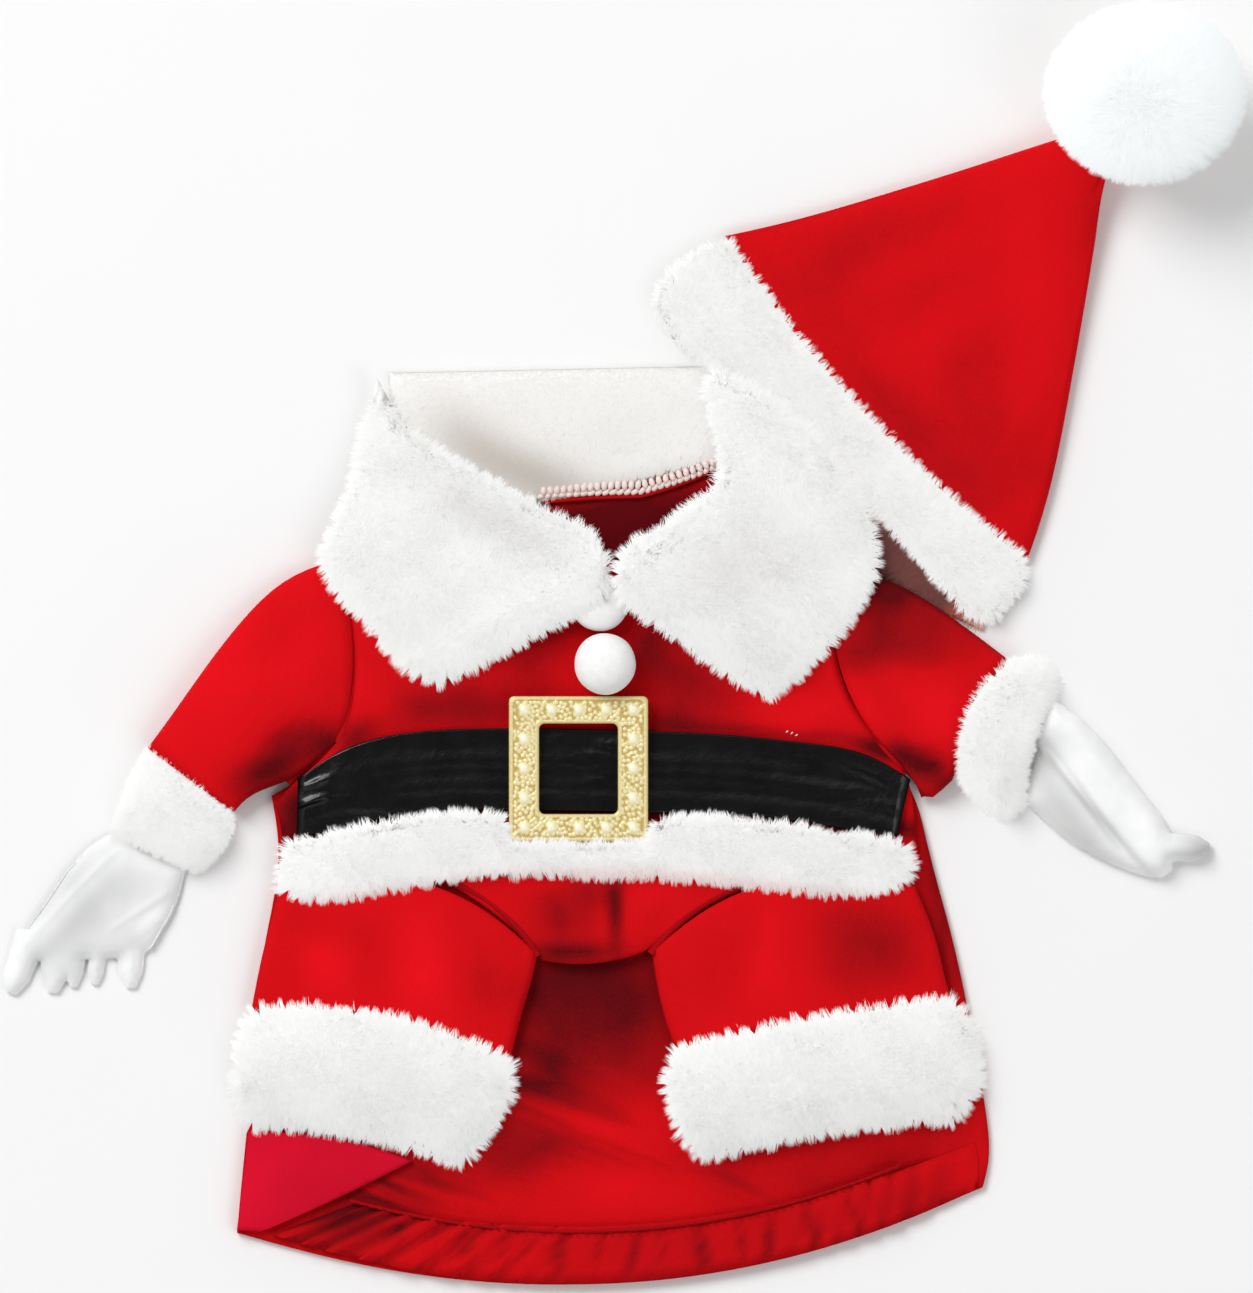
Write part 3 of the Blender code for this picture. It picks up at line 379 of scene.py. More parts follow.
CLOTHS = [
    Cloth("coat_back", 5, 40, 290, 300, 0.72, "laid", "coat_front"),
    Cloth("coat_front", 3, 14, 214, 130, 0.85, "laid", "coat_back"),
    Cloth("crotch_gusset", 2, 6, 112, 32, 0.62, "laid", "coat_back"),
    Cloth("leg_left", 2, 8, 190, 45, 0.9, "laid", "coat_back"),
    Cloth("leg_right", 2, 8, 196, 45, 0.9, "laid", "coat_back"),
    Cloth("sleeve_left", 2, 8, 116, 78, 0.72, "laid", "coat_back"),
    Cloth("sleeve_right", 2, 8, 122, 58, 0.75, "laid", "coat_back"),
    Cloth("hat_cone", 3, 14, 310, 152, 0.55, "laid", "hat_brim_back"),
    Cloth("coat_back_fold", 2, 6, 58, 38, 0.62, "folded", "coat_back"),
    Cloth("hem_casing", 1, 9, 300, 22, 0.9, "gathered", "coat_back"),
]

PLUSHES = [
    Plush("collar_left", 28000, 7.4, 0.53, 3.0, -0.1, -0.5, 0.45, 0.2, 130, 80, 0.7, "coat_front"),
    Plush("collar_right", 28000, 7.4, 0.53, 3.0, 0.2, -0.4, 0.45, 0.2, 130, 80, 0.7, "coat_front"),
    Plush("collar_back", 18000, 2.6, 0.55, 0.5, -0.3, -1.0, 0.12, 0.0, 118, 48, 0.75, "coat_back"),
    Plush("waist_trim", 25000, 6.6, 0.53, 2.2, 0.05, -0.36, 0.45, 0.34, 218, 24, 0.9, "coat_front"),
    Plush("leg_cuff_left", 25000, 7.6, 0.53, 3.0, 0.0, 0.0, 0.5, 0.28, 200, 46, 0.9, "coat_back"),
    Plush("leg_cuff_right", 25000, 7.6, 0.53, 3.0, 0.0, 0.0, 0.5, 0.28, 210, 46, 0.9, "coat_back"),
    Plush("sleeve_cuff_left", 14000, 6.0, 0.47, 2.2, -0.12, -0.16, 0.45, 0.0, 84, 32, 0.9, "sleeve_left"),
    Plush("sleeve_cuff_right", 15000, 7.2, 0.48, 2.2, 0.3, -0.1, 0.45, 0.1, 98, 26, 0.9, "sleeve_right"),
    Plush("hat_brim_front", 25000, 6.6, 0.53, 2.4, 0.3, 0.0, 0.45, 0.15, 164, 32, 0.85, "hat_brim_back"),
    Plush("hat_brim_back", 5000, 3.6, 0.5, 0.4, -0.4, -0.5, 0.3, 0.3, 160, 30, 0.85, "hat_brim_front"),
]

GLOVES = [
    Glove("glove_left", "sleeve_cuff_left", 66, 58, 0.62, 4.6),
    Glove("glove_right", "sleeve_cuff_right", 58, 62, 0.62, 9.0),
]

STITCHES = {
    "collar_overlock": [
        Stitches(-24.5, 94.0, 10, 96.2, 0.4, 4.4, 2.3, 3.6, 2.1, 84),
        Stitches(10, 96.2, 37.5, 105.2, -0.7, 4.4, 2.3, 3.6, 2.1, 88),
        Stitches(-25.4, 92.2, 9.0, 93.9, 0.4, 3.8, 2.3, 3.2, 2.0, 30),
        Stitches(9.0, 93.9, 37.4, 103.4, -0.7, 3.8, 2.3, 3.2, 2.0, 38),
    ],
    "casing_stitching": [Stitches(-88, -147.4, 102, -133.4, -17.0, 5.9, 2.9, 1.7, 0.4, 0)],
    "buckle_threads": [
        Stitches(-13.4, -25.2, -11.8, -25.4, 0.1, 10.6, 0.8, 1.0, 0.4, 20),
        Stitches(2.0, -25.2, 3.6, -25.1, 0.1, 10.6, 0.8, 1.0, 0.4, -20),
    ],
    "lint": [
        Stitches(58.6, 12.6, 63.4, 10.8, 0.2, 8.1, 1.6, 1.2, 0.5, 60),
    ],
}

# Where the pieces are sewn together, the seam's turned-in edges fill the groove; their shade
# paints the seam lines darker, as painted shade in the groove
SEAMS = {
    "seam_sleeve_left": [
        Seam(-94.0, 66.0, -92.9, 8.4, 5.8, 5.4, 1.7, 0.12),
        Seam(-92.9, 8.4, -110.2, -5.2, -0.6, 4.8, 1.3, 0.25),
    ],
    "seam_sleeve_right": [
        Seam(76.4, 66.0, 103.3, -2.2, -12.8, 5.4, 1.7, 0.08),
        Seam(103.3, -2.2, 106.2, -9.6, 0.0, 3.6, 1.2, 0.3),
    ],
    "seam_leg_left": [Seam(-60.0, -36.9, -25.3, -63.9, 4.4, 5.9, 1.5, 0.22)],
    "seam_leg_right": [Seam(13.2, -63.2, 58.0, -36.9, 5.2, 5.9, 1.5, 0.22)],
    "seam_casing": [Seam(-89, -147.0, 98, -135.0, -16.0, 4.8, 0.6, 0.2)],
    "seam_neck": [
        Seam(-23.4, 90.4, 9.4, 92.4, 0.4, 3.0, 0.8, 0.1),
        Seam(9.4, 92.4, 36.4, 101.9, -0.7, 3.0, 0.8, 0.1),
    ],
}

SLOTS = {
    "belt": "black_belt",
    "buckle": "gold_buckle",
    "button_lower": "white_felt",
    "button_upper": "white_felt",
    "glove_left": "glove_jersey",
    "glove_right": "glove_jersey",
    "hat_pompom": "pompom_hair",
}


def srgb(code):
    """The linear colour of an sRGB hex value."""
    parts = [int(code[place : place + 2], 16) / 255 for place in (0, 2, 4)]
    return tuple(part / 12.92 if part <= 0.04045 else ((part + 0.055) / 1.055) ** 2.4 for part in parts)


class FleeceSettings(bpy.types.PropertyGroup):
    """Sizes and colours of the red fleece."""

    # The red runs from deep to bright: painted shade in folds, hollows and under the collar and belt turns
    # it deep, painted light turns it bright, and the nap varies it at random
    bright: FloatVectorProperty(
        name="Bright", description="Colour where the nap faces up", subtype="COLOR", default=srgb("E8101C")
    )
    middle: FloatVectorProperty(
        name="Middle", description="Colour of most of the fleece", subtype="COLOR", default=srgb("CC0D14")
    )
    deep: FloatVectorProperty(
        name="Deep",
        description="Colour where the nap faces away or the cloth lies in a fold",
        subtype="COLOR",
        default=srgb("5E0A10"),
    )
    creases: FloatProperty(
        name="Creases",
        description="How high the creases stand, as a share of their listed height",
        default=1.0,
        min=0.0,
        max=2.0,
    )
    # Painted shade in the cloth's hollows, folds and gathers
    depth: FloatProperty(
        name="Depth of hollows",
        description="How much deeper the red looks for each millimetre that a hollow sinks",
        default=0.5,
        min=0.0,
        max=2.0,
    )


class PlushSettings(bpy.types.PropertyGroup):
    """Sizes and colours of the plush."""

    tip: FloatVectorProperty(
        name="Tip", description="Colour of the pile's tips", subtype="COLOR", default=srgb("FBFBFA")
    )
    # The roots' colour is painted shade deep in the pile, which casts no shadow of its own; the backing's
    # knit also runs from it to the tip colour
    root: FloatVectorProperty(
        name="Root", description="Colour of the pile's roots", subtype="COLOR", default=srgb("E9E7E3")
    )
    share: FloatProperty(
        name="Share of spikes",
        description="How many of the listed spikes are made",
        default=1.0,
        min=0.05,
        max=1.2,
    )
    clump: FloatProperty(
        name="Clumping",
        description="How far the spikes' tips draw together into tufts",
        default=0.4,
        min=0.0,
        max=1.0,
    )


class TrimSettings(bpy.types.PropertyGroup):
    """Sizes and colours of the belt, the buckle and the pompom."""

    belt: FloatVectorProperty(
        name="Belt", description="Colour of the coated belt", subtype="COLOR", default=srgb("0E0E10")
    )
    gold: FloatVectorProperty(
        name="Gilt", description="Colour of the gilt buckle", subtype="COLOR", default=srgb("FAF3CE")
    )
    bead: FloatProperty(
        name="Bead", description="Width of a bead of the buckle's face", unit="LENGTH", default=1.5 * MM
    )
    strands: IntProperty(
        name="Pompom strands", description="Strands of the hat's pompom", default=53000, min=1000, max=64000
    )


class StageSettings(bpy.types.PropertyGroup):
    """The surface and its light."""

    floor: FloatVectorProperty(
        name="Floor", description="Colour of the surface", subtype="COLOR", default=srgb("F4F4F4")
    )
    key: FloatProperty(
        name="Key light", description="Power of the large soft light", unit="POWER", default=112.0
    )
    ambient: FloatProperty(
        name="Ambient", description="Strength of the even light from all round", default=0.6
    )


def add_node(tree, kind, settings=None, links=None, out=0):
    """Adds a shader node with its settings and links, and gives one of its outputs."""
    node = tree.nodes.new("ShaderNode" + kind)
    for key, value in (settings or {}).items():
        if key == "stops":
            band = node.color_ramp
            while len(band.elements) < len(value):
                band.elements.new(0.5)
            for element, (position, colour) in zip(band.elements, value):
                element.position = position
                element.color = (*colour, 1.0)
        elif isinstance(key, str) and key in node.bl_rna.properties:
            setattr(node, key, value)
        else:
            node.inputs[key].default_value = value
    for key, output in (links or {}).items():
        tree.links.new(output, node.inputs[key])
    return node.outputs[out]


def per_mm(size):
    """A texture's scale for a pattern whose features are so many millimetres wide."""
    return 1 / (size * MM)


def start_material(name, **sockets):
    """A Principled material, its tree and its coordinates. Sockets are written with _ for a space."""
    made = bpy.data.materials.new(name)
    made.use_nodes = True
    tree = made.node_tree
    for key, value in sockets.items():
        tree.nodes["Principled BSDF"].inputs[key.replace("_", " ")].default_value = value
    return made, tree, add_node(tree, "TexCoord", out="Object")


def connect(tree, **outputs):
    """Links outputs to the Principled shader's sockets."""
    for key, output in outputs.items():
        tree.links.new(output, tree.nodes["Principled BSDF"].inputs[key.replace("_", " ")])


def red_fleece(fleece, name, tone=0.0, crimson=0.0):
    """Brushed polyester fleece: matt and saturated, with random patches where the nap lies over. Painted
    shade darkens it to the deep red, and painted light, below 0, brightens it.

    Its fibres are drawn 0.9 mm wide, coarser than real ones, so that they show.
    """
    made, tree, place = start_material(
        name,
        Roughness=0.92,
        Specular_IOR_Level=0.04,
        Sheen_Weight=0.06,
        Sheen_Roughness=0.5,
        Sheen_Tint=(*fleece.bright, 1.0),
    )
    shade = add_node(tree, "Attribute", {"attribute_name": "shade"}, out="Fac")
    patches = add_node(tree, "TexNoise", {"Scale": per_mm(16.0), "Detail": 3.0}, {"Vector": place})
    fine = {"Scale": per_mm(0.9), "Detail": 3.0, "Roughness": 0.7}
    fibres = add_node(tree, "TexNoise", fine, {"Vector": place})
    spread = {"operation": "MULTIPLY_ADD", 1: 0.16}
    # A tone above 0 paints a whole copy darker, as painted shade
    level = add_node(tree, "Math", {**spread, 2: 0.365 - tone}, {0: patches})
    # Painted shade darkens the red, and painted light, below 0, brightens it
    level = add_node(tree, "Math", {"operation": "SUBTRACT"}, {0: level, 1: shade})
    fleck = add_node(tree, "Math", {**spread, 2: -0.08}, {0: fibres})
    level = add_node(tree, "Math", {"operation": "ADD"}, {0: level, 1: fleck})
    tint = Vector(srgb("C8123A")) * crimson
    stops = [
        (0.0, Vector(fleece.deep) * (1 - crimson) + tint * 0.5),
        (0.46, Vector(fleece.middle) * (1 - crimson) + tint),
        (0.9, Vector(fleece.bright) * (1 - crimson) + tint * 1.2),
    ]
    colour = add_node(tree, "ValToRGB", {"stops": stops}, {"Fac": level})
    waves = add_node(tree, "TexNoise", {"Scale": per_mm(5.0)}, {"Vector": place})
    soft = add_node(tree, "Bump", {"Strength": 0.35, "Distance": 0.5 * MM}, {"Height": waves})
    nap = {"Strength": 0.5, "Distance": 0.25 * MM}
    normal = add_node(tree, "Bump", nap, {"Height": fibres, "Normal": soft})
    connect(tree, Base_Color=colour, Normal=normal)
    return made


def painted_shade_over(tree, white, shade, shade_colours):
    """White that takes the colours of painted shade, and of painted light thrown on it by red cloth, from
    the lightest to the deepest, as shade rises.
    """
    step = 1.0 / len(shade_colours)
    for number, painted_colour in enumerate(shade_colours):
        span = {"From Min": number * step, "From Max": (number + 1) * step}
        amount = add_node(tree, "MapRange", span, {"Value": shade})
        links = {"Fac": amount, "Color1": white}
        white = add_node(tree, "MixRGB", {"Color2": (*srgb(painted_colour), 1.0)}, links)
    return white


def plush_pile(plush, name, cool=0.0, warm=0.0, shade_colours=("B4AEA8",), mottle=0.5):
    """Cut polyester pile: white tips that scatter light, roots painted greyer as the shade between them,
    and painted grey shade where its shade is high.
    """
    made, tree, _ = start_material(name, Roughness=0.75, Specular_IOR_Level=0.2, Sheen_Weight=0.2)
    along, tint, shade = (
        add_node(tree, "Attribute", {"attribute_name": stored}, out="Fac")
        for stored in ("along", "tint", "shade")
    )
    spread = {"operation": "MULTIPLY_ADD", 1: mottle, 2: 0.4 - mottle}
    level = add_node(tree, "Math", spread, {0: tint})
    level = add_node(tree, "Math", {"operation": "ADD"}, {0: along, 1: level})
    cast = Vector((1 - cool, 1 - cool * 0.45, 1.0)) * Vector((1.0, 1 - warm, 1 - warm * 0.9))
    stops = [(0.0, Vector(plush.root) * cast), (0.6, Vector(plush.tip) * cast)]
    white = add_node(tree, "ValToRGB", {"stops": stops}, {"Fac": level})
    connect(tree, Base_Color=painted_shade_over(tree, white, shade, shade_colours))
    return made


def plush_backing(plush, name, shade_colours=("B4AEA8",)):
    """Knitted polyester backing of the plush: off-white and matt, with fine knit ribs.

    Where its painted shade is high it takes the shade's colours: painted shade, and painted red light that
    the red cloth throws on it.
    """
    made, tree, place = start_material(name, Roughness=0.9, Specular_IOR_Level=0.15)
    knit = {"Scale": per_mm(1.2), "Detail": 3.0, "Roughness": 0.6}
    grain = add_node(tree, "TexNoise", knit, {"Vector": place})
    shade = add_node(tree, "Attribute", {"attribute_name": "shade"}, out="Fac")
    white = add_node(tree, "ValToRGB", {"stops": [(0.3, plush.root), (0.7, plush.tip)]}, {"Fac": grain})
    ribs = add_node(tree, "Bump", {"Strength": 0.6, "Distance": 0.3 * MM}, {"Height": grain})
    connect(tree, Base_Color=painted_shade_over(tree, white, shade, shade_colours), Normal=ribs)
    return made


def coated_belt(trim):
    """Black coated cloth: a smooth skin whose gloss breaks up along soft puckers; matt cut edges."""
    made, tree, place = start_material("coated_belt_cloth", Roughness=0.24, IOR=1.5)
    edge = add_node(tree, "Attribute", {"attribute_name": "edge"}, out="Fac")
    gloss = add_node(tree, "MapRange", {"To Min": 0.5, "To Max": 0.0}, {"Value": edge})
    wear = add_node(tree, "TexNoise", {"Scale": per_mm(9.0), "Detail": 3.0}, {"Vector": place})
    stops = [(0.35, Vector(trim.belt) * 0.5), (0.7, Vector(trim.belt) * 1.2)]
    colour = add_node(tree, "ValToRGB", {"stops": stops}, {"Fac": wear})
    puckers = add_node(tree, "TexNoise", {"Scale": per_mm(4.0), "Detail": 3.0}, {"Vector": place})
    puckers = add_node(tree, "Bump", {"Strength": 0.5, "Distance": 0.5 * MM}, {"Height": puckers})
    grain = add_node(tree, "TexNoise", {"Scale": per_mm(0.8)}, {"Vector": place})
    skin = {"Strength": 0.5, "Distance": 0.05 * MM}
    normal = add_node(tree, "Bump", skin, {"Height": grain, "Normal": puckers})
    connect(tree, Specular_IOR_Level=gloss, Base_Color=colour, Normal=normal)
    return made


def gilt_plastic(trim):
    """Metallised moulded plastic: pale gold, with painted light that makes it brighter on the raised beads
    and painted shade that makes it browner in the hollows between them.
    """
    made, tree, place = start_material("gilt_plastic", Roughness=0.36, Metallic=0.12)
    # The relief paints light on the raised parts and shade in the hollows
    depth = add_node(tree, "Attribute", {"attribute_name": "relief"}, out="Fac")
    speck = add_node(tree, "TexNoise", {"Scale": per_mm(0.7)}, {"Vector": place})
    level = add_node(tree, "Math", {"operation": "MULTIPLY_ADD", 1: 0.3, 2: -0.15}, {0: speck})
    level = add_node(tree, "Math", {"operation": "ADD"}, {0: depth, 1: level})
    stops = [(0.0, srgb("C9AE62")), (0.3, srgb("F0E3AE")), (0.65, trim.gold), (1.0, srgb("FFFBE4"))]
    colour = add_node(tree, "ValToRGB", {"stops": stops}, {"Fac": level})
    pits = add_node(tree, "Bump", {"Strength": 0.5, "Distance": 0.08 * MM}, {"Height": speck})
    connect(tree, Base_Color=colour, Normal=pits)
    return made


def white_felt():
    """Pressed felt ball: smooth and matt with faint lumps and a thin fuzz."""
    made, tree, place = start_material("pressed_felt", Roughness=0.85, Sheen_Weight=0.3)
    lumps = add_node(tree, "TexNoise", {"Scale": per_mm(3.0), "Detail": 3.0}, {"Vector": place})
    stops = [(0.3, srgb("F0F0EF")), (0.7, srgb("F8F8F8"))]
    colour = add_node(tree, "ValToRGB", {"stops": stops}, {"Fac": lumps})
    hairs = {"Scale": per_mm(0.6), "Detail": 3.0, "Roughness": 0.7}
    fuzz = add_node(tree, "TexNoise", hairs, {"Vector": place})
    fuzz = add_node(tree, "Bump", {"Strength": 0.6, "Distance": 0.15 * MM}, {"Height": fuzz})
    soft = {"Strength": 0.3, "Distance": 0.2 * MM}
    normal = add_node(tree, "Bump", soft, {"Height": lumps, "Normal": fuzz})
    connect(tree, Base_Color=colour, Normal=normal)
    return made


def white_jersey():
    """Fine knitted polyester: bright white with a soft sheen, and grey painted shade where its shade is
    high.

    Its knit ribs, half a millimetre apart in real cloth, are drawn nearly 3 mm apart so that they show.
    """
    made, tree, place = start_material(
        "white_jersey", Roughness=0.75, Specular_IOR_Level=0.15, Sheen_Weight=0.25
    )
    waves = {"Scale": per_mm(6.0), "Distortion": 1.0, "bands_direction": "DIAGONAL"}
    ribs = add_node(tree, "TexWave", waves, {"Vector": place}, "Fac")
    tone = add_node(tree, "TexNoise", {"Scale": per_mm(12.0)}, {"Vector": place})
    shade = add_node(tree, "Attribute", {"attribute_name": "shade"}, out="Fac")
    stops = [(0.3, srgb("F0F1F2")), (0.7, srgb("FDFDFD"))]
    white = add_node(tree, "ValToRGB", {"stops": stops}, {"Fac": tone})
    fine = add_node(tree, "Bump", {"Strength": 0.3, "Distance": 0.04 * MM}, {"Height": ribs})
    # Grey painted shade from the glove's patches
    connect(tree, Base_Color=painted_shade_over(tree, white, shade, ("A9AAA8",)), Normal=fine)
    return made


def sewing_thread(name, code):
    """Spun polyester thread: matt, with its twist as fine bumps."""
    made, tree, place = start_material(name, Roughness=0.85, Specular_IOR_Level=0.1)
    twist = add_node(tree, "TexNoise", {"Scale": per_mm(0.5), "Detail": 1.0}, {"Vector": place})
    stops = [(0.3, Vector(srgb(code)) * 0.8), (0.7, srgb(code))]
    colour = add_node(tree, "ValToRGB", {"stops": stops}, {"Fac": twist})
    bumps = add_node(tree, "Bump", {"Strength": 0.5, "Distance": 0.1 * MM}, {"Height": twist})
    connect(tree, Base_Color=colour, Normal=bumps)
    return made


def painted_board(stage):
    """Matt painted board: a plain pale surface with the faintest roller mottle."""
    made, tree, place = start_material("painted_board", Roughness=0.8, Specular_IOR_Level=0.1)
    mottle = add_node(tree, "TexNoise", {"Scale": per_mm(60.0)}, {"Vector": place})
    stops = [(0.0, Vector(stage.floor) * 0.985), (1.0, stage.floor)]
    connect(tree, Base_Color=add_node(tree, "ValToRGB", {"stops": stops}, {"Fac": mottle}))
    return made


def points_of(data):
    """A mesh's points in metres, one row each."""
    flat = np.empty(len(data.vertices) * 3)
    data.vertices.foreach_get("co", flat)
    return flat.reshape(-1, 3)


def normals_of(data):
    """The smooth normal at each point of a mesh."""
    flat = np.empty(len(data.vertices) * 3)
    data.vertices.foreach_get("normal", flat)
    return flat.reshape(-1, 3)


def set_points(data, points):
    """Moves a mesh's points to new places."""
    data.vertices.foreach_set("co", points.ravel())
    data.update()


def add_values(data, name, values):
    """Stores a number for each point, which a material can read."""
    layer = data.attributes.new(name, "FLOAT", "POINT")
    layer.data.foreach_set("value", np.asarray(values, np.float32))


def add_piece(name, data, look, slot, replaced=()):
    """Puts a piece in the scene on the costume's body."""
    made = bpy.data.objects.new(name, data)
    bpy.context.scene.collection.objects.link(made)
    data.materials.clear()
    data.materials.append(look)
    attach(made, BODY)
    if replaced:
        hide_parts(*replaced)
    return made


def pass_light(hair):
    """Lets light through a pile, as white hairs scatter it on from one to the next."""
    hair.visible_shadow = False
    hair.visible_diffuse = False


def mesh_from(work, name):
    """Turns edited geometry into a mesh and frees it."""
    data = bpy.data.meshes.new(name)
    work.to_mesh(data)
    work.free()
    return data


def divided(node, name, cuts, rounds, keep=28.0, back=0.0):
    """A finer, smoother copy of a solid's mesh. Points on edges sharper than keep stay in place.

    With back, each round is followed by one that swells the form again by that much.
    """
    work = bmesh.new()
    work.from_mesh(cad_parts[node].data)
    bmesh.ops.remove_doubles(work, verts=work.verts[:], dist=WELD)
    bmesh.ops.join_triangles(
        work,
        faces=work.faces[:],
        angle_face_threshold=math.radians(50),
        angle_shape_threshold=math.radians(70),
    )
    bmesh.ops.subdivide_edges(work, edges=work.edges[:], cuts=cuts, use_grid_fill=True)
    work.verts.ensure_lookup_table()
    work.verts.index_update()
    limit = math.radians(keep)
    folds = [edge for edge in work.edges if not edge.is_manifold or edge.calc_face_angle() > limit]
    beside = {}
    for edge in folds:
        for vert in edge.verts:
            beside.setdefault(vert.index, []).append(edge.other_vert(vert))
    pinned = np.zeros(len(work.verts), bool)
    pinned[list(beside)] = True
    slides = []
    for index, others in beside.items():
        if len(others) == 2:
            here = work.verts[index].co
            if (others[0].co - here).angle(here - others[1].co) < CORNER:
                slides.append((index, others[0].index, others[1].index))
    data = mesh_from(work, name)
    relax(data, rounds, pinned, np.array(slides, int).reshape(-1, 3), back)
    data.shade_smooth()
    data.set_sharp_from_angle(angle=math.radians(60))
    return data


def means_beside(data):
    """A function that gives, for a number at each point, the mean of those at its neighbours."""
    ends = np.empty(len(data.edges) * 2, np.int32)
    data.edges.foreach_get("vertices", ends)
    one, other = ends.reshape(-1, 2).T
    size = len(data.vertices)
    count = np.bincount(ends, minlength=size).astype(float)

    def means(values):
        """The mean of the neighbours' values at each point."""
        return (np.bincount(one, values[other], size) + np.bincount(other, values[one], size)) / count

    return means


def relax(data, rounds, pinned, slides, back):
    """Moves each point that isn't pinned halfway to the middle of its neighbours, some rounds.

    slides lists points on a sharp edge, which only move towards their two neighbours on it.
    """
    points = points_of(data)
    means = means_beside(data)
    free = ~pinned
    shares = (0.5, -back) if back else (0.5,)
    for share in shares * rounds:
        step = share * (np.stack([means(column) for column in points.T], axis=1) - points)
        along_edge = (points[slides[:, 1]] + points[slides[:, 2]]) / 2 - points[slides[:, 0]]
        points[free] += step[free]
        points[slides[:, 0]] += share * along_edge
    set_points(data, points)


def crease_rise(creases, points):
    """How far creases lift each point, in millimetres."""
    plan = points[:, :2] / MM
    rise = np.zeros(len(points))
    for x1, y1, x2, y2, width, high in creases:
        way = np.array((x2, y2)) - (x1, y1)
        offset = plan - (x1, y1)
        along = offset @ way / (way @ way)
        bend = 1.5 * np.sin(3.0 * along + x1)
        aside = np.abs((offset[:, 0] * way[1] - offset[:, 1] * way[0]) / np.hypot(*way) + bend)
        profile = np.sin(math.pi * np.clip(along, 0, 1)) ** 0.8 * np.exp(-((aside / width) ** 2))
        rise += np.where((along > 0) & (along < 1), high * profile, 0.0)
    return rise


def press_creases(data, creases, share):
    """Lifts or sinks a piece's upper face along its creases."""
    points = points_of(data)
    facing = np.clip((normals_of(data)[:, 2] - 0.2) / 0.8, 0, 1)
    points[:, 2] += crease_rise(creases, points) * facing * share * MM
    set_points(data, points)


def thin_out(data):
    """Lets the hem's casing run out flat on the back panel towards its right end."""
    start, end = CASING_END
    points = points_of(data)
    share = np.clip((points[:, 0] / MM - start) / (end - start), 0, 1)
    share = share * share * (3 - 2 * share) * CASING_FALL
    points[:, 2] += (PANEL_TOP * MM - points[:, 2]) * share
    set_points(data, points)


def shade_of(patches, points):
    """How much darker each point is painted, as painted shade, or lighter where below 0, as painted light.
    """
    plan = points[:, :2] / MM
    shade = np.zeros(len(points))
    for x, y, long, wide, turn, deep in patches:
        offset = plan - (x, y)
        turn = math.radians(turn)
        along = offset[:, 0] * math.cos(turn) + offset[:, 1] * math.sin(turn)
        across = offset[:, 1] * math.cos(turn) - offset[:, 0] * math.sin(turn)
        shade += deep * np.exp(-((along / long) ** 2) - (across / wide) ** 2)
    return shade


def hollows(data, rounds, most=0.7):
    """How far each point lies below the middle height round it, in millimetres."""
    height = points_of(data)[:, 2] / MM
    means = means_beside(data)
    level = height
    for _ in range(rounds):
        level = means(level)
    return np.clip(level - height, -most, most)


def thickness(data, tree, points, normals, farthest):
    """For each point, how thick the solid is below it and how far a face lies in front of it."""
    start = 0.05 * MM
    below = np.full(len(points), farthest)
    front = np.full(len(points), farthest)
    for index, (point, normal) in enumerate(zip(points, normals)):
        place = Vector(point)
        way = Vector(normal)
        hit = tree.ray_cast(place - way * start, -way, farthest)[3]
        if hit is not None:
            below[index] = hit
        hit = tree.ray_cast(place + way * start, way, farthest)[3]
        if hit is not None:
            front[index] = hit
    return below, front


def build_mesh(name, points, quads, tris):
    """A mesh of points, four-sided and three-sided faces given as arrays."""
    data = bpy.data.meshes.new(name)
    data.vertices.add(len(points))
    data.vertices.foreach_set("co", np.ascontiguousarray(points, np.float32).ravel())
    corners = np.concatenate((quads.ravel(), tris.ravel())).astype(np.int32)
    data.loops.add(len(corners))
    data.loops.foreach_set("vertex_index", corners)
    starts = np.concatenate(
        (np.arange(len(quads)) * 4, len(quads) * 4 + np.arange(len(tris)) * 3)
    ).astype(np.int32)
    data.polygons.add(len(starts))
    data.polygons.foreach_set("loop_start", starts)
    data.update(calc_edges=True)
    data.validate()
    return data


def spikes(name, roots, tips, half, shading, tint):
    """Thin closed three-sided spikes as one mesh, each with one shading normal all over."""
    count = len(roots)
    way = unit(tips - roots)
    side = unit(np.cross(way, shading))
    cross = np.cross(way, side)
    corners = []
    for turn in (math.pi / 2, math.pi * 7 / 6, math.pi * 11 / 6):
        corners.append(roots + (side * math.cos(turn) + cross * math.sin(turn)) * half)
    points = np.stack((*corners, tips), axis=1).reshape(-1, 3)
    base = np.arange(count)[:, None] * 4
    tris = np.concatenate([base + np.array(face) for face in ((0, 1, 3), (1, 2, 3), (2, 0, 3))])
    data = build_mesh(name, points, np.empty((0, 4), int), tris)
    add_values(data, "along", np.tile((0.0, 0.0, 0.0, 1.0), count))
    add_values(data, "tint", np.repeat(tint, 4))
    data.shade_smooth()
    data.normals_split_custom_set_from_vertices(np.repeat(shading, 4, axis=0).tolist())
    return data


def unit(vectors):
    """The rows of vectors, each one long."""
    return vectors / np.maximum(np.linalg.norm(vectors, axis=1, keepdims=True), 1e-9)


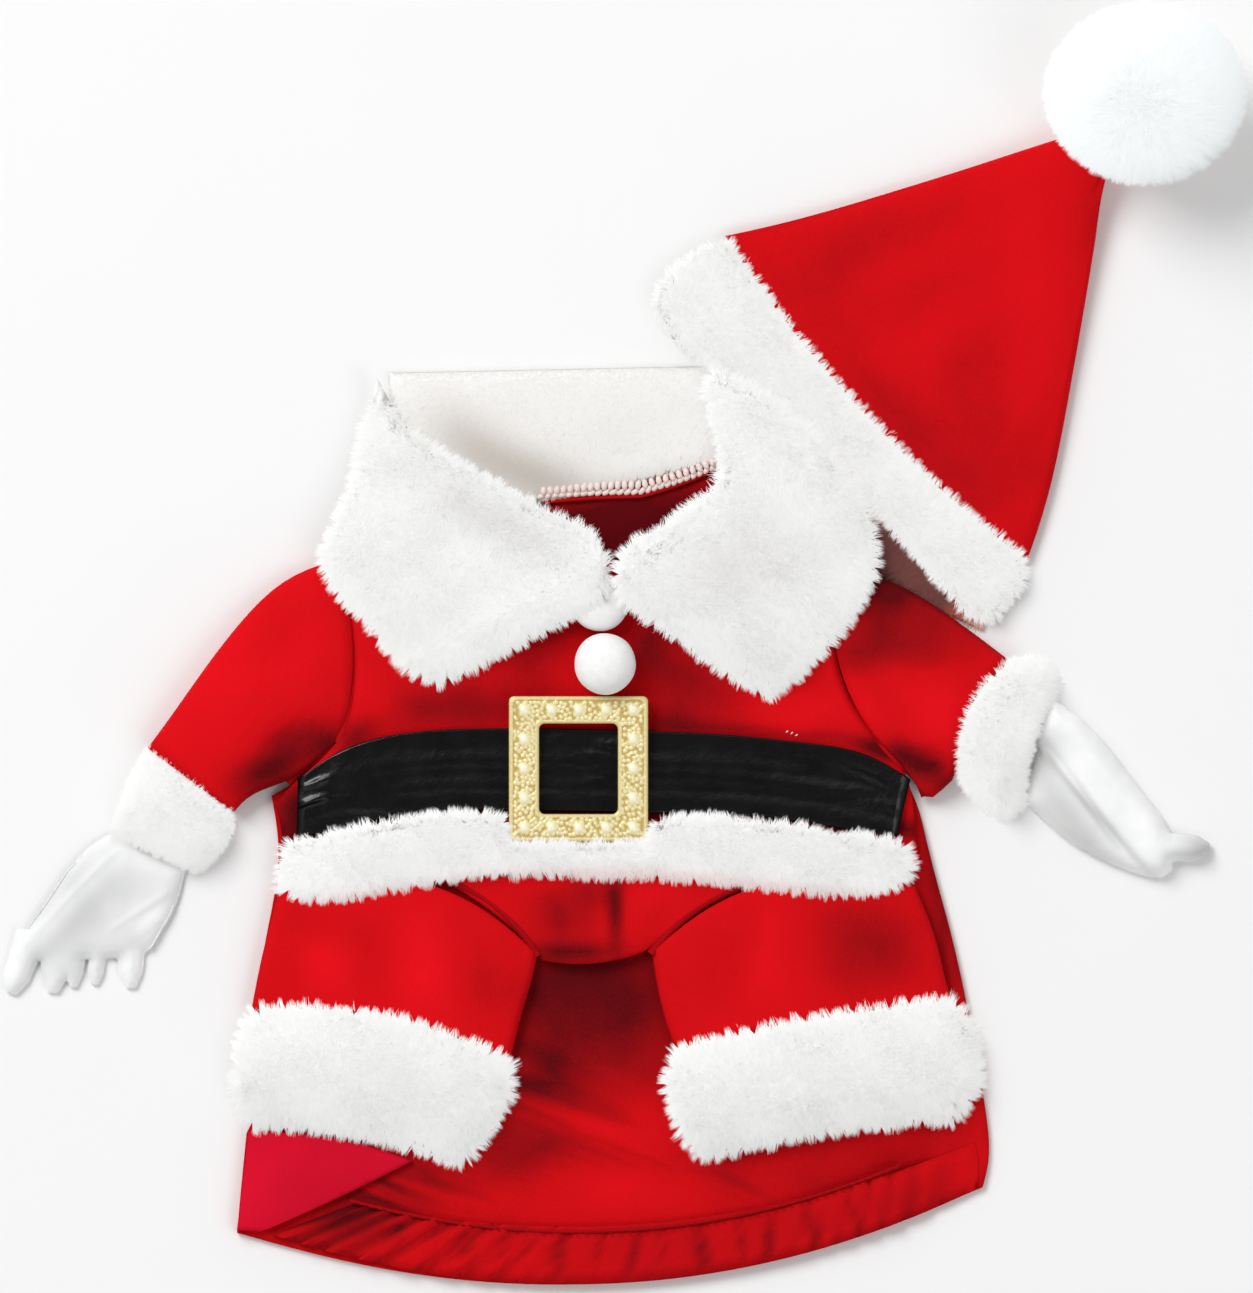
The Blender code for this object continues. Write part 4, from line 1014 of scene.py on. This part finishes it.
def samples(data, allowed, count, random):
    """Random points on a mesh's allowed faces and the smooth normals there."""
    data.calc_loop_triangles()
    flat = np.empty(len(data.loop_triangles) * 3, np.int32)
    data.loop_triangles.foreach_get("vertices", flat)
    triangles = flat.reshape(-1, 3)
    triangles = triangles[allowed[triangles].all(axis=1)]
    points = points_of(data)
    normals = normals_of(data)
    corner = points[triangles]
    area = np.linalg.norm(
        np.cross(corner[:, 1] - corner[:, 0], corner[:, 2] - corner[:, 0]), axis=1
    )
    chosen = random.choice(len(triangles), count, p=area / area.sum())
    first = np.sqrt(random.random(count))
    second = random.random(count)
    share = np.stack((1 - first, first * (1 - second), first * second), axis=1)[:, :, None]
    place = (points[triangles[chosen]] * share).sum(axis=1)
    return place, unit((normals[triangles[chosen]] * share).sum(axis=1))


def drift(points, size):
    """A slow, smooth wander of direction over the plan, between -1 and 1 in X and Y."""
    x, y = (points[:, :2] / MM / size).T
    east = np.sin(1.3 * x + 2.1 * np.sin(0.7 * y + 0.4)) + np.sin(2.3 * y - 1.1 * x + 1.0)
    north = np.sin(1.7 * y + 1.9 * np.sin(0.9 * x + 2.0)) + np.sin(2.1 * x + 1.4 * y + 4.0)
    return np.stack((east, north, np.zeros(len(x))), axis=1) / 2


def gathered_tips(tips, per_tuft, strength, random):
    """Draws tips together into tufts. Also gives each tip a number of its tuft from 0 to 1."""
    leaders = random.choice(len(tips), max(1, len(tips) // per_tuft), replace=False)
    tree = KDTree(len(leaders))
    for number, leader in enumerate(leaders):
        tree.insert(tips[leader], number)
    tree.balance()
    nearest = np.array([tree.find(tip)[1] for tip in tips])
    pull = strength * (0.6 + 0.4 * random.random((len(tips), 1)))
    return tips + (tips[leaders[nearest]] - tips) * pull, random.random(len(leaders))[nearest]


def pile(name, data, allowed, plush, count, clump, seed):
    """The pile of a plush piece: spikes that stand on its faces, lean with its nap and tuft.

    At the sides that the nap doesn't lean away from, they are longer and draw into pointed tufts.
    """
    random = np.random.default_rng(seed)
    place, normal = samples(data, allowed, count, random)
    aside = 1 - np.clip(normal[:, 2:], 0, 1)
    root = place - normal * (plush.depth + SIDE_DEPTH * aside) * MM
    outward = normal * (1, 1, 0)
    nap = np.array((plush.nap_x, plush.nap_y, 0.0))
    jitter = random.normal(0, 0.16, (count, 3))
    against = np.clip(-(outward @ nap) / max(np.linalg.norm(nap), 0.2), 0, 1)
    open_side = (1 - 0.65 * against)[:, None]
    lean = nap * (0.6 + 0.4 * random.random((count, 1))) + drift(place, 10.0) * 0.4
    lean = lean + outward * 0.5 * open_side
    aside = aside * open_side
    way = unit(normal * plush.stand + lean * (1 - plush.stand) + jitter)
    long = plush.length * MM * (0.76 + 0.3 * random.random((count, 1))) * (1 + plush.tuft * aside)
    draw = np.clip(clump + plush.tuft * 1.4 * aside, 0, 0.9)
    tip, tint = gathered_tips(root + way * long, PER_TUFT, draw, random)
    for row in (root, tip):
        row[:, 2] = np.maximum(row[:, 2], CLEAR * MM)
    shading = unit(normal + way * 0.2 + jitter * 0.15 + np.array((0, 0, 1.5)))
    made = spikes(name, root, tip, plush.width * 0.66 * MM, shading, tint)
    # Painted shade on the pile from the listed patches
    add_values(made, "shade", shade_of(PAINTED_SHADE_AND_LIGHT.get(plush.node, ()), points_of(made)))
    return made


def inset(points, normals, below, depth):
    """Draws a plush piece's faces in to its backing."""
    return points - normals * np.minimum(depth * MM, below * 0.3)[:, None]


def reach_under(data):
    """Draws the back brim's lower edge on until the shoulder hides it."""
    points = points_of(data)
    plan = points[:, :2] / MM
    # It starts 9 mm before the shoulder's edge and is whole 2 mm before it
    beyond = np.clip(((plan - SHOULDER) @ UNDER_SHOULDER + 9) / 7, 0, 1)
    # It reaches 4.5 mm at X = 90, less to the right of that, and fades out from 114 to 126
    far = np.clip(4.5 - 0.1 * (plan[:, 0] - 90), 1.0, 4.5) * np.clip((126 - plan[:, 0]) / 12, 0, 1)
    points[:, :2] += np.outer(beyond * far, UNDER_SHOULDER) * MM
    set_points(data, points)


class COSTUME_OT_cloth(bpy.types.Operator):
    """Makes the fleece panels, legs, sleeves, the hem and the hat"""

    bl_idname = "costume.cloth"
    bl_label = "Fleece pieces"

    def execute(self, context):
        fleece = context.scene.costume_fleece
        main = red_fleece(fleece, "brushed_fleece")
        # A darker copy of the fleece: painted shade for the inside of the coat's back panel and its hem
        inner = red_fleece(fleece, "brushed_fleece_inside_painted_shade", 0.1)
        crimson = red_fleece(fleece, "brushed_fleece_crimson", 0.0, 0.45)
        looks = {"coat_back": inner, "hem_casing": inner, "coat_back_fold": crimson}
        for cloth in CLOTHS:
            gathered = cloth.held == "gathered"
            name = cloth.node + "_cloth"
            data = divided(cloth.node, name, cloth.cuts, cloth.rounds, 75 if gathered else 28)
            if gathered:
                thin_out(data)
            press_creases(data, CREASES.get(cloth.node, ()), fleece.creases)
            # Painted shade and painted light from the listed patches, and painted shade in the hollows of
            # the upper face, deeper in the hem's gathers
            shade = shade_of(PAINTED_SHADE_AND_LIGHT.get(cloth.node, ()), points_of(data))
            facing = np.clip(normals_of(data)[:, 2], 0, 1)
            depth = fleece.depth * (0.55 if gathered else 0.35)
            add_values(data, "shade", shade + hollows(data, 24) * facing * depth)
            piece = add_piece(name, data, looks.get(cloth.node, main), "red_fleece", [cloth.node])
        return {"FINISHED"}


class COSTUME_OT_plush(bpy.types.Operator):
    """Makes the plush collar, trims, cuffs and brim with their pile"""

    bl_idname = "costume.plush"
    bl_label = "Plush pieces"

    def execute(self, context):
        settings = context.scene.costume_plush
        white = plush_pile(settings, "cut_pile")
        backing = plush_backing(settings, "knitted_backing")
        # Painted shadow inside the back brim: from pale, through the red light that the red cloth throws on
        # it, to its deepest shade
        between = ("D6AC98", "AC5543", "6E403C")
        shaded = plush_backing(settings, "knitted_backing_shaded", between)
        # The collar's inside is painted beige shade towards its seam and lower left, and the trim painted
        # pink shade with red light from the red cloth along its lower edge
        piles = {
            "collar_back": plush_pile(settings, "cut_pile_inside", 0.0, 0.01, ("B8AFA4",), 0.1),
            "hat_brim_back": plush_pile(settings, "cut_pile_shaded", shade_colours=between),
            "waist_trim": plush_pile(settings, "cut_pile_painted_pink_shade", shade_colours=("EDB6B4",)),
        }
        for number, plush in enumerate(PLUSHES):
            data = divided(plush.node, plush.node + "_backing", 1, 4)
            if plush.node == "hat_brim_back":
                reach_under(data)
            points = points_of(data)
            normals = normals_of(data)
            tree = BVHTree.FromPolygons(points.tolist(), [face.vertices[:] for face in data.polygons])
            below, front = thickness(data, tree, points, normals, FARTHEST * MM)
            furry = (front > HAIR_ROOM * MM) & (normals[:, 2] > UNDERSIDE)
            left, high = (side * MM for side in FOLDED_CORNER)
            furry &= ~((points[:, 0] < left) & (points[:, 1] > high))
            count = int(plush.spikes * settings.share)
            hair = pile(plush.node + "_pile", data, furry, plush, count, settings.clump, number + 1)
            look = piles.get(plush.node, white)
            hair_piece = add_piece(plush.node + "_pile", hair, look, "white_plush")
            pass_light(hair_piece)
            points[furry] = inset(points, normals, below, plush.depth)[furry]
            set_points(data, points)
            # Painted shade on the backing from the same patches
            add_values(data, "shade", shade_of(PAINTED_SHADE_AND_LIGHT.get(plush.node, ()), points))
            look = shaded if plush.node == "hat_brim_back" else backing
            piece = add_piece(plush.node + "_backing", data, look, "white_plush", [plush.node])
        return {"FINISHED"}


class COSTUME_OT_pompom(bpy.types.Operator):
    """Makes the hat's long-haired pompom"""

    bl_idname = "costume.pompom"
    bl_label = "Pompom"

    def execute(self, context):
        look = plush_pile(context.scene.costume_plush, "long_pile", cool=0.05)
        low, high = (np.array(corner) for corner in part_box("hat_pompom"))
        centre = (low + high) / 2
        radii = (high - low) / 2
        random = np.random.default_rng(77)
        way = unit(random.normal(0, 1, (context.scene.costume_trim.strands, 3)))
        # The hat's tip leaves no room for hair
        hat_high = np.array(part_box("hat_cone")[1])
        to_hat = unit((hat_high * (1, 1, 0.8) - centre)[None])[0]
        way = way[way @ to_hat < 0.94]
        count = len(way)
        crown = unit(np.array([CROWN]))[0]
        near = np.exp(-(((1 - way @ crown) / 0.08) ** 2))[:, None]
        away = unit(way * (way @ crown)[:, None] - crown + random.normal(0, 0.4, (count, 3)) * near)
        laid = 0.1 + 0.34 * random.random((count, 1))
        combed = unit(way + away * laid + random.normal(0, 0.05, (count, 3)))
        reach = 0.93 + 0.09 * random.random((count, 1))
        tip, tint = gathered_tips(centre + combed * radii * reach, PER_LOCK, 0.5, random)
        root = centre + way * radii * 0.8
        for row in (root, tip):
            row[:, 2] = np.maximum(row[:, 2], CLEAR * MM)
        shading = unit(way * 0.7 + random.normal(0, 0.05, (count, 3)) + np.array((-0.1, 0.1, 0.75)))
        data = spikes("pompom_hair", root, tip, 0.3 * MM, shading, tint)
        hair = add_piece("pompom_hair", data, look, "pompom_hair")
        pass_light(hair)
        work = bmesh.new()
        bmesh.ops.create_icosphere(work, subdivisions=4, radius=1.0)
        bmesh.ops.scale(work, verts=work.verts[:], vec=radii * 0.82)
        bmesh.ops.translate(work, verts=work.verts[:], vec=centre)
        ball = mesh_from(work, "pompom_core")
        ball.shade_smooth()
        backing = plush_backing(context.scene.costume_plush, "pompom_core")
        core_piece = add_piece("pompom_core", ball, backing, "pompom_hair", ["hat_pompom"])
        hair.parent = core_piece
        return {"FINISHED"}


def one_skin(data, size):
    """One closed skin round all of a mesh's parts, with faces of that size in millimetres."""
    joined = bpy.data.objects.new("glove_parts", data)
    bpy.context.scene.collection.objects.link(joined)
    change = joined.modifiers.new("skin", "REMESH")
    change.mode = "VOXEL"
    change.voxel_size = size * MM
    graph = bpy.context.evaluated_depsgraph_get()
    made = bpy.data.meshes.new_from_object(joined.evaluated_get(graph))
    bpy.data.objects.remove(joined)
    relax(made, 6, np.zeros(len(made.vertices), bool), np.empty((0, 3), int), BACK_OUT)
    made.shade_smooth()
    return made


def puffed(data, high, radius):
    """Gives a flat piece one even height that rounds off towards its outline."""
    points = points_of(data)
    tree = BVHTree.FromPolygons(points.tolist(), [face.vertices[:] for face in data.polygons])
    low, top = points.min(axis=0), points.max(axis=0)
    step = 0.4 * MM
    across, along = np.ceil((top - low)[:2] / step).astype(int) + 3
    filled = np.zeros((across, along), bool)
    down = Vector((0, 0, -1))
    for x in range(1, across - 1):
        for y in range(1, along - 1):
            spot = Vector((low[0] + (x - 1) * step, low[1] + (y - 1) * step, top[2] + 1))
            filled[x, y] = tree.ray_cast(spot, down)[0] is not None
    inside = filled.copy()
    for axis in (0, 1):
        for shift in (-1, 1):
            inside &= np.roll(filled, shift, axis)
    border = np.argwhere(filled & ~inside)
    outline = KDTree(len(border))
    for number, (x, y) in enumerate(border):
        outline.insert((low[0] + (x - 1) * step, low[1] + (y - 1) * step, 0), number)
    outline.balance()
    away = np.array([outline.find((x, y, 0))[2] for x, y, _ in points])
    round_off = np.sqrt(1 - (1 - np.clip(away / (radius * MM), 0, 1)) ** 2)
    upper = normals_of(data)[:, 2] > -0.5
    points[upper, 2] = (0.4 + (high - 0.4) * round_off[upper]) * MM
    set_points(data, points)
    points[:, 2] += hollows(data, 6, 9.0) * MM * upper
    set_points(data, points)


class COSTUME_OT_gloves(bpy.types.Operator):
    """Makes the white hands"""

    bl_idname = "costume.gloves"
    bl_label = "Gloves"

    def execute(self, context):
        look = white_jersey()
        for glove in GLOVES:
            name = glove.node + "_cloth"
            data = one_skin(divided(glove.node, name, 2, 2, 180, BACK_OUT), GLOVE_FACE)
            puffed(data, glove.high, GLOVE_EDGE)
            press_creases(data, CREASES[glove.node], 1.0)
            # Grey painted shade on the glove from its patches, beside its creases and under its flap
            add_values(data, "shade", shade_of(PAINTED_SHADE_AND_LIGHT[glove.node], points_of(data)))
            piece = add_piece(name, data, look, SLOTS[glove.node], [glove.node])
        return {"FINISHED"}


class COSTUME_OT_belt(bpy.types.Operator):
    """Makes the glossy belt with its two lengthwise folds"""

    bl_idname = "costume.belt"
    bl_label = "Belt"

    def execute(self, context):
        data = divided("belt", "belt_cloth", 3, 20, 60)
        press_creases(data, CREASES["belt"], 1.0)
        add_values(data, "edge", np.clip((0.96 - normals_of(data)[:, 2]) / 0.12, 0, 1))
        look = coated_belt(context.scene.costume_trim)
        piece = add_piece("belt_cloth", data, look, SLOTS["belt"], ["belt"])
        return {"FINISHED"}


def rounded_ring(width, height, radius, per_side, per_corner):
    """Points round a rectangle with round corners, the same number whatever its size."""
    points = []
    for corner in range(4):
        turn = corner * math.pi / 2
        half = (width / 2, height / 2) if corner % 2 == 0 else (height / 2, width / 2)
        middle = np.array((half[0] - radius, half[1] - radius))
        spin = np.array(((math.cos(turn), -math.sin(turn)), (math.sin(turn), math.cos(turn))))
        for step in range(per_corner):
            angle = math.pi / 2 * step / per_corner
            points.append(spin @ (middle + radius * np.array((math.cos(angle), math.sin(angle)))))
        begin = np.array((half[0] - radius, half[1]))
        end = np.array((radius - half[0], half[1]))
        for step in range(per_side):
            points.append(spin @ (begin + (end - begin) * step / per_side))
    return np.array(points)


def bead_places(size, gap, random):
    """Places of the beads of the buckle's face, none nearer than gap to another."""
    kept = []
    window = size / 2 - BAND + 1.4
    for _ in range(9000):
        spot = (random.random(2) - 0.5) * (size - 4)
        if (np.abs(spot) < window).all() or any(np.hypot(*(spot - other)) < gap for other in kept):
            continue
        kept.append(spot)
    return np.array(kept)


def face_height(plan, edge, size, beads, bead):
    """Height of the buckle's face at a ring of points so far from its nearer edge."""
    rim = np.clip(edge / 0.7, 0, 1)
    lift = np.full(len(plan), 0.7 * np.sqrt(1 - (1 - rim) ** 2))
    if edge <= RIM:
        return lift
    far = np.full(len(plan), 9.0)
    for spot in beads:
        far = np.minimum(far, np.hypot(*(plan - spot).T))
    lift = lift - 0.45 + 0.62 * np.sqrt(np.clip(1 - (far / (bead / 2 * 1.15)) ** 2, 0, 1))
    reach = (size - BAND) / 2
    for column in range(5):
        for row in range(5):
            if column in (0, 4) or row in (0, 4):
                spot = reach * (column / 2 - 1, row / 2 - 1)
                dx, dy = np.abs(plan - spot).T
                cut = np.maximum(np.maximum(dx, dy), (dx + dy) * 0.72)
                lift = np.maximum(lift, 0.25 + 1.75 * np.clip(1 - cut / 2.7, 0, 0.72))
                beside = np.hypot(*(plan - spot - (-2.1, -0.3)).T)
                lift = lift - 0.6 * np.exp(-((beside / 0.8) ** 2))
    return lift


class COSTUME_OT_buckle(bpy.types.Operator):
    """Makes the gilt buckle with its beads and studs"""

    bl_idname = "costume.buckle"
    bl_label = "Buckle"

    def execute(self, context):
        trim = context.scene.costume_trim
        low, high = (np.array(corner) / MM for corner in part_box("buckle"))
        size = (high - low)[:2]
        face = high[2] - 1.1
        outer = rounded_ring(*size, 1.8, 104, 8)
        inner = rounded_ring(*(size - 2 * BAND), 2.0, 104, 8)
        bead = trim.bead / MM
        beads = bead_places(size, bead * 0.8, np.random.default_rng(11))
        count = len(outer)
        rings = [np.column_stack((outer, np.full(count, z))) for z in (low[2], face - 0.6)]
        reliefs = [np.full(count, 0.3)] * 2
        for step in range(FACE_STEPS + 1):
            share = step / FACE_STEPS
            plan = outer + (inner - outer) * share
            lift = face_height(plan, min(share, 1 - share) * 9.7, size, beads, bead)
            rings.append(np.column_stack((plan, face - 0.6 + lift)))
            reliefs.append(np.clip((lift - 0.4) / 1.2, 0, 1))
        for z in (face - 0.6, low[2]):
            rings.append(np.column_stack((inner, np.full(count, z))))
            reliefs.append(np.full(count, 0.2))
        points = np.concatenate(rings) + (*(low + high)[:2] / 2, 0)
        near = np.arange(count)
        far = (near + 1) % count
        quads = []
        for ring in range(len(rings)):
            after = (ring + 1) % len(rings) * count
            ring = ring * count
            quads.append(np.stack((ring + near, ring + far, after + far, after + near), 1))
        data = build_mesh("buckle_gilt", points * MM, np.concatenate(quads), np.empty((0, 3), int))
        # How raised the face is, which the gilt's painted light and shade follow
        add_values(data, "relief", np.concatenate(reliefs))
        work = bmesh.new()
        work.from_mesh(data)
        bmesh.ops.recalc_face_normals(work, faces=work.faces[:])
        work.to_mesh(data)
        work.free()
        data.shade_smooth()
        data.set_sharp_from_angle(angle=math.radians(70))
        add_piece("buckle_gilt", data, gilt_plastic(trim), SLOTS["buckle"], ["buckle"])
        return {"FINISHED"}


class COSTUME_OT_buttons(bpy.types.Operator):
    """Makes the two felt balls"""

    bl_idname = "costume.buttons"
    bl_label = "Felt balls"

    def execute(self, context):
        look = white_felt()
        for node in ("button_upper", "button_lower"):
            low, high = (np.array(corner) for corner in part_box(node))
            work = bmesh.new()
            bmesh.ops.create_uvsphere(work, u_segments=48, v_segments=32, radius=1.0)
            bmesh.ops.scale(work, verts=work.verts[:], vec=(high - low) / 2 * 0.985)
            bmesh.ops.translate(work, verts=work.verts[:], vec=(high + low) / 2)
            data = mesh_from(work, node + "_felt")
            points = points_of(data)
            points += drift(points, 5.0) * 0.12 * MM
            set_points(data, points)
            data.shade_smooth()
            ball = add_piece(node + "_felt", data, look, SLOTS[node], [node])
        return {"FINISHED"}


def stitch_mesh(name, runs):
    """Short capsules of thread along bowed lines."""
    work = bmesh.new()
    for run in runs:
        count = int(math.hypot(run.x2 - run.x1, run.y2 - run.y1) / run.pitch)
        places, ways = bowed(run, (np.arange(count) + 0.5) / count)
        for number, (plan, way) in enumerate(zip(places, ways)):
            turn = math.atan2(way[1], way[0]) + math.radians(run.slant + 8 * math.sin(number * 1.7))
            made = bmesh.ops.create_uvsphere(work, u_segments=8, v_segments=6, radius=0.5)
            bmesh.ops.scale(work, verts=made["verts"], vec=(run.long, run.thick, run.thick))
            spin = Vector((math.cos(turn), math.sin(turn), 0))
            for vert in made["verts"]:
                x, y, z = vert.co
                vert.co = (
                    x * spin.x - y * spin.y + plan[0],
                    x * spin.y + y * spin.x + plan[1],
                    z + run.height,
                )
    bmesh.ops.scale(work, verts=work.verts[:], vec=(MM, MM, MM))
    data = mesh_from(work, name)
    data.shade_smooth()
    return data


def bowed(line, share):
    """Plan point and way of a bowed line at shares along it."""
    start = np.array((line.x1, line.y1))
    way = np.array((line.x2, line.y2)) - start
    left = np.array((-way[1], way[0])) / np.hypot(*way)
    share = np.asarray(share)[:, None]
    plan = start + way * share + left * line.bow * 4 * share * (1 - share)
    return plan, unit(way + left * line.bow * 4 * (1 - 2 * share))


def seam_mesh(name, seams):
    """Soft rolls along the seams."""
    steps, sides = 48, 8
    angle = np.arange(sides) * 2 * math.pi / sides
    parts = []
    quads = []
    for number, seam in enumerate(seams):
        plan, way = bowed(seam, np.linspace(0, 1, steps))
        across = np.column_stack((way[:, 1], -way[:, 0]))
        ring = across[:, None, :] * np.cos(angle)[None, :, None] * seam.radius
        high = np.full((steps, sides, 1), seam.height) + np.sin(angle)[None, :, None] * seam.radius
        parts.append(np.concatenate((plan[:, None, :] + ring, high), axis=2).reshape(-1, 3))
        near = np.arange(steps - 1)[:, None] * sides + np.arange(sides)[None, :]
        after = np.arange(steps - 1)[:, None] * sides + (np.arange(sides)[None, :] + 1) % sides
        faces = np.stack((near, near + sides, after + sides, after), axis=2).reshape(-1, 4)
        quads.append(faces + number * steps * sides)
    points = np.concatenate(parts) * MM
    data = build_mesh(name, points, np.concatenate(quads), np.empty((0, 3), int))
    # Painted shade along the seam lines
    add_values(data, "shade", np.repeat([seam.shade for seam in seams], steps * sides))
    data.shade_smooth()
    return data


class COSTUME_OT_seams(bpy.types.Operator):
    """Makes the turned-in edges of the seams between the fleece pieces"""

    bl_idname = "costume.seams"
    bl_label = "Seams"

    def execute(self, context):
        look = red_fleece(context.scene.costume_fleece, "brushed_fleece_seam")
        for name, seams in SEAMS.items():
            add_piece(name, seam_mesh(name, seams), look, "red_fleece")
        return {"FINISHED"}


class COSTUME_OT_stitches(bpy.types.Operator):
    """Makes the collar's overlock seam, the other stitching and a bit of lint"""

    bl_idname = "costume.stitches"
    bl_label = "Stitching"

    def execute(self, context):
        looks = {
            "collar_overlock": (sewing_thread("overlock_thread", "FBE6E0"), "white_plush"),
            # The hem's thread is dark red thread, darker than the fleece so that it also paints the shade
            # of the stitched groove
            "casing_stitching": (sewing_thread("thread_with_painted_groove_shade", "7A0A12"), "red_fleece"),
            "buckle_threads": (sewing_thread("red_thread", "C8141C"), "red_fleece"),
            "lint": (sewing_thread("white_thread", "E8D8D6"), "white_plush"),
        }
        for name, runs in STITCHES.items():
            look, slot = looks[name]
            add_piece(name, stitch_mesh(name, runs), look, slot)
        return {"FINISHED"}


class COSTUME_OT_stage(bpy.types.Operator):
    """Makes the surface, the light and the camera above it"""

    bl_idname = "costume.stage"
    bl_label = "Surface, light and camera"

    def execute(self, context):
        stage = context.scene.costume_stage
        work = bmesh.new()
        bmesh.ops.create_grid(work, x_segments=4, y_segments=4, size=2.5)
        bmesh.ops.translate(work, verts=work.verts[:], vec=(0, 0, -0.2 * MM))
        data = mesh_from(work, "surface")
        surface = bpy.data.objects.new("surface", data)
        context.scene.collection.objects.link(surface)
        data.materials.append(painted_board(stage))
        self.add_light(context, "key_light", (-1.9, 2.2, 3.0), stage.key, 2.0)
        self.add_light(context, "fill_light", (2.4, -1.8, 3.4), stage.key * 0.25, 2.4)
        world = bpy.data.worlds.new("plain_studio")
        context.scene.world = world
        world.use_nodes = True
        tree = world.node_tree
        ground = tree.nodes["Background"]
        ground.inputs["Color"].default_value = (1.0, 1.0, 1.0, 1.0)
        way = add_node(tree, "TexCoord", out="Generated")
        up = add_node(tree, "SeparateXYZ", links={"Vector": way}, out="Z")
        opening = {"From Min": 0.86, "From Max": 0.97, "To Min": stage.ambient, "To Max": 0.05}
        tree.links.new(add_node(tree, "MapRange", opening, {"Value": up}), ground.inputs["Strength"])
        lens = bpy.data.cameras.new("camera_above")
        lens.lens = lens.sensor_width * CAMERA_HEIGHT / FIELD[1]
        lens.clip_end = 40.0
        camera = bpy.data.objects.new("camera_above", lens)
        camera.location = (FIELD_MIDDLE[0] * MM, FIELD_MIDDLE[1] * MM, CAMERA_HEIGHT * MM)
        context.scene.collection.objects.link(camera)
        context.scene.camera = camera
        context.scene.view_settings.view_transform = "Standard"
        return {"FINISHED"}

    def add_light(self, context, name, place, power, size):
        """Adds a square light that shines towards the middle of the frame."""
        data = bpy.data.lights.new(name, "AREA")
        data.energy = power
        data.size = size
        light = bpy.data.objects.new(name, data)
        light.location = place
        light.rotation_euler = (-Vector(place)).to_track_quat("-Z", "Y").to_euler()
        context.scene.collection.objects.link(light)


class COSTUME_PT_panel(bpy.types.Panel):
    """Lists the settings and the steps that make the costume"""

    bl_label = "Costume"
    bl_idname = "COSTUME_PT_panel"
    bl_space_type = "VIEW_3D"
    bl_region_type = "UI"
    bl_category = "Costume"

    def draw(self, context):
        for name in SETTINGS:
            group = getattr(context.scene, name)
            for key in group.__annotations__:
                self.layout.prop(group, key)
        for step in STEPS:
            self.layout.operator(step.bl_idname)


SETTINGS = {
    "costume_fleece": FleeceSettings,
    "costume_plush": PlushSettings,
    "costume_trim": TrimSettings,
    "costume_stage": StageSettings,
}
STEPS = (
    COSTUME_OT_cloth,
    COSTUME_OT_plush,
    COSTUME_OT_pompom,
    COSTUME_OT_gloves,
    COSTUME_OT_belt,
    COSTUME_OT_buckle,
    COSTUME_OT_buttons,
    COSTUME_OT_seams,
    COSTUME_OT_stitches,
    COSTUME_OT_stage,
)


def register():
    """Makes the settings, the steps and the panel known."""
    for name, group in SETTINGS.items():
        bpy.utils.register_class(group)
        setattr(bpy.types.Scene, name, PointerProperty(type=group))
    for step in (*STEPS, COSTUME_PT_panel):
        bpy.utils.register_class(step)


def unregister():
    """Takes the panel, the steps and the settings away again."""
    for step in (*STEPS, COSTUME_PT_panel):
        bpy.utils.unregister_class(step)
    for name, group in SETTINGS.items():
        delattr(bpy.types.Scene, name)
        bpy.utils.unregister_class(group)


def main():
    """Makes the costume step by step."""
    register()
    bpy.ops.costume.cloth()
    bpy.ops.costume.plush()
    bpy.ops.costume.pompom()
    bpy.ops.costume.gloves()
    bpy.ops.costume.belt()
    bpy.ops.costume.buckle()
    bpy.ops.costume.buttons()
    bpy.ops.costume.seams()
    bpy.ops.costume.stitches()
    bpy.ops.costume.stage()
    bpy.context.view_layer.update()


if __name__ == "__main__":
    main()
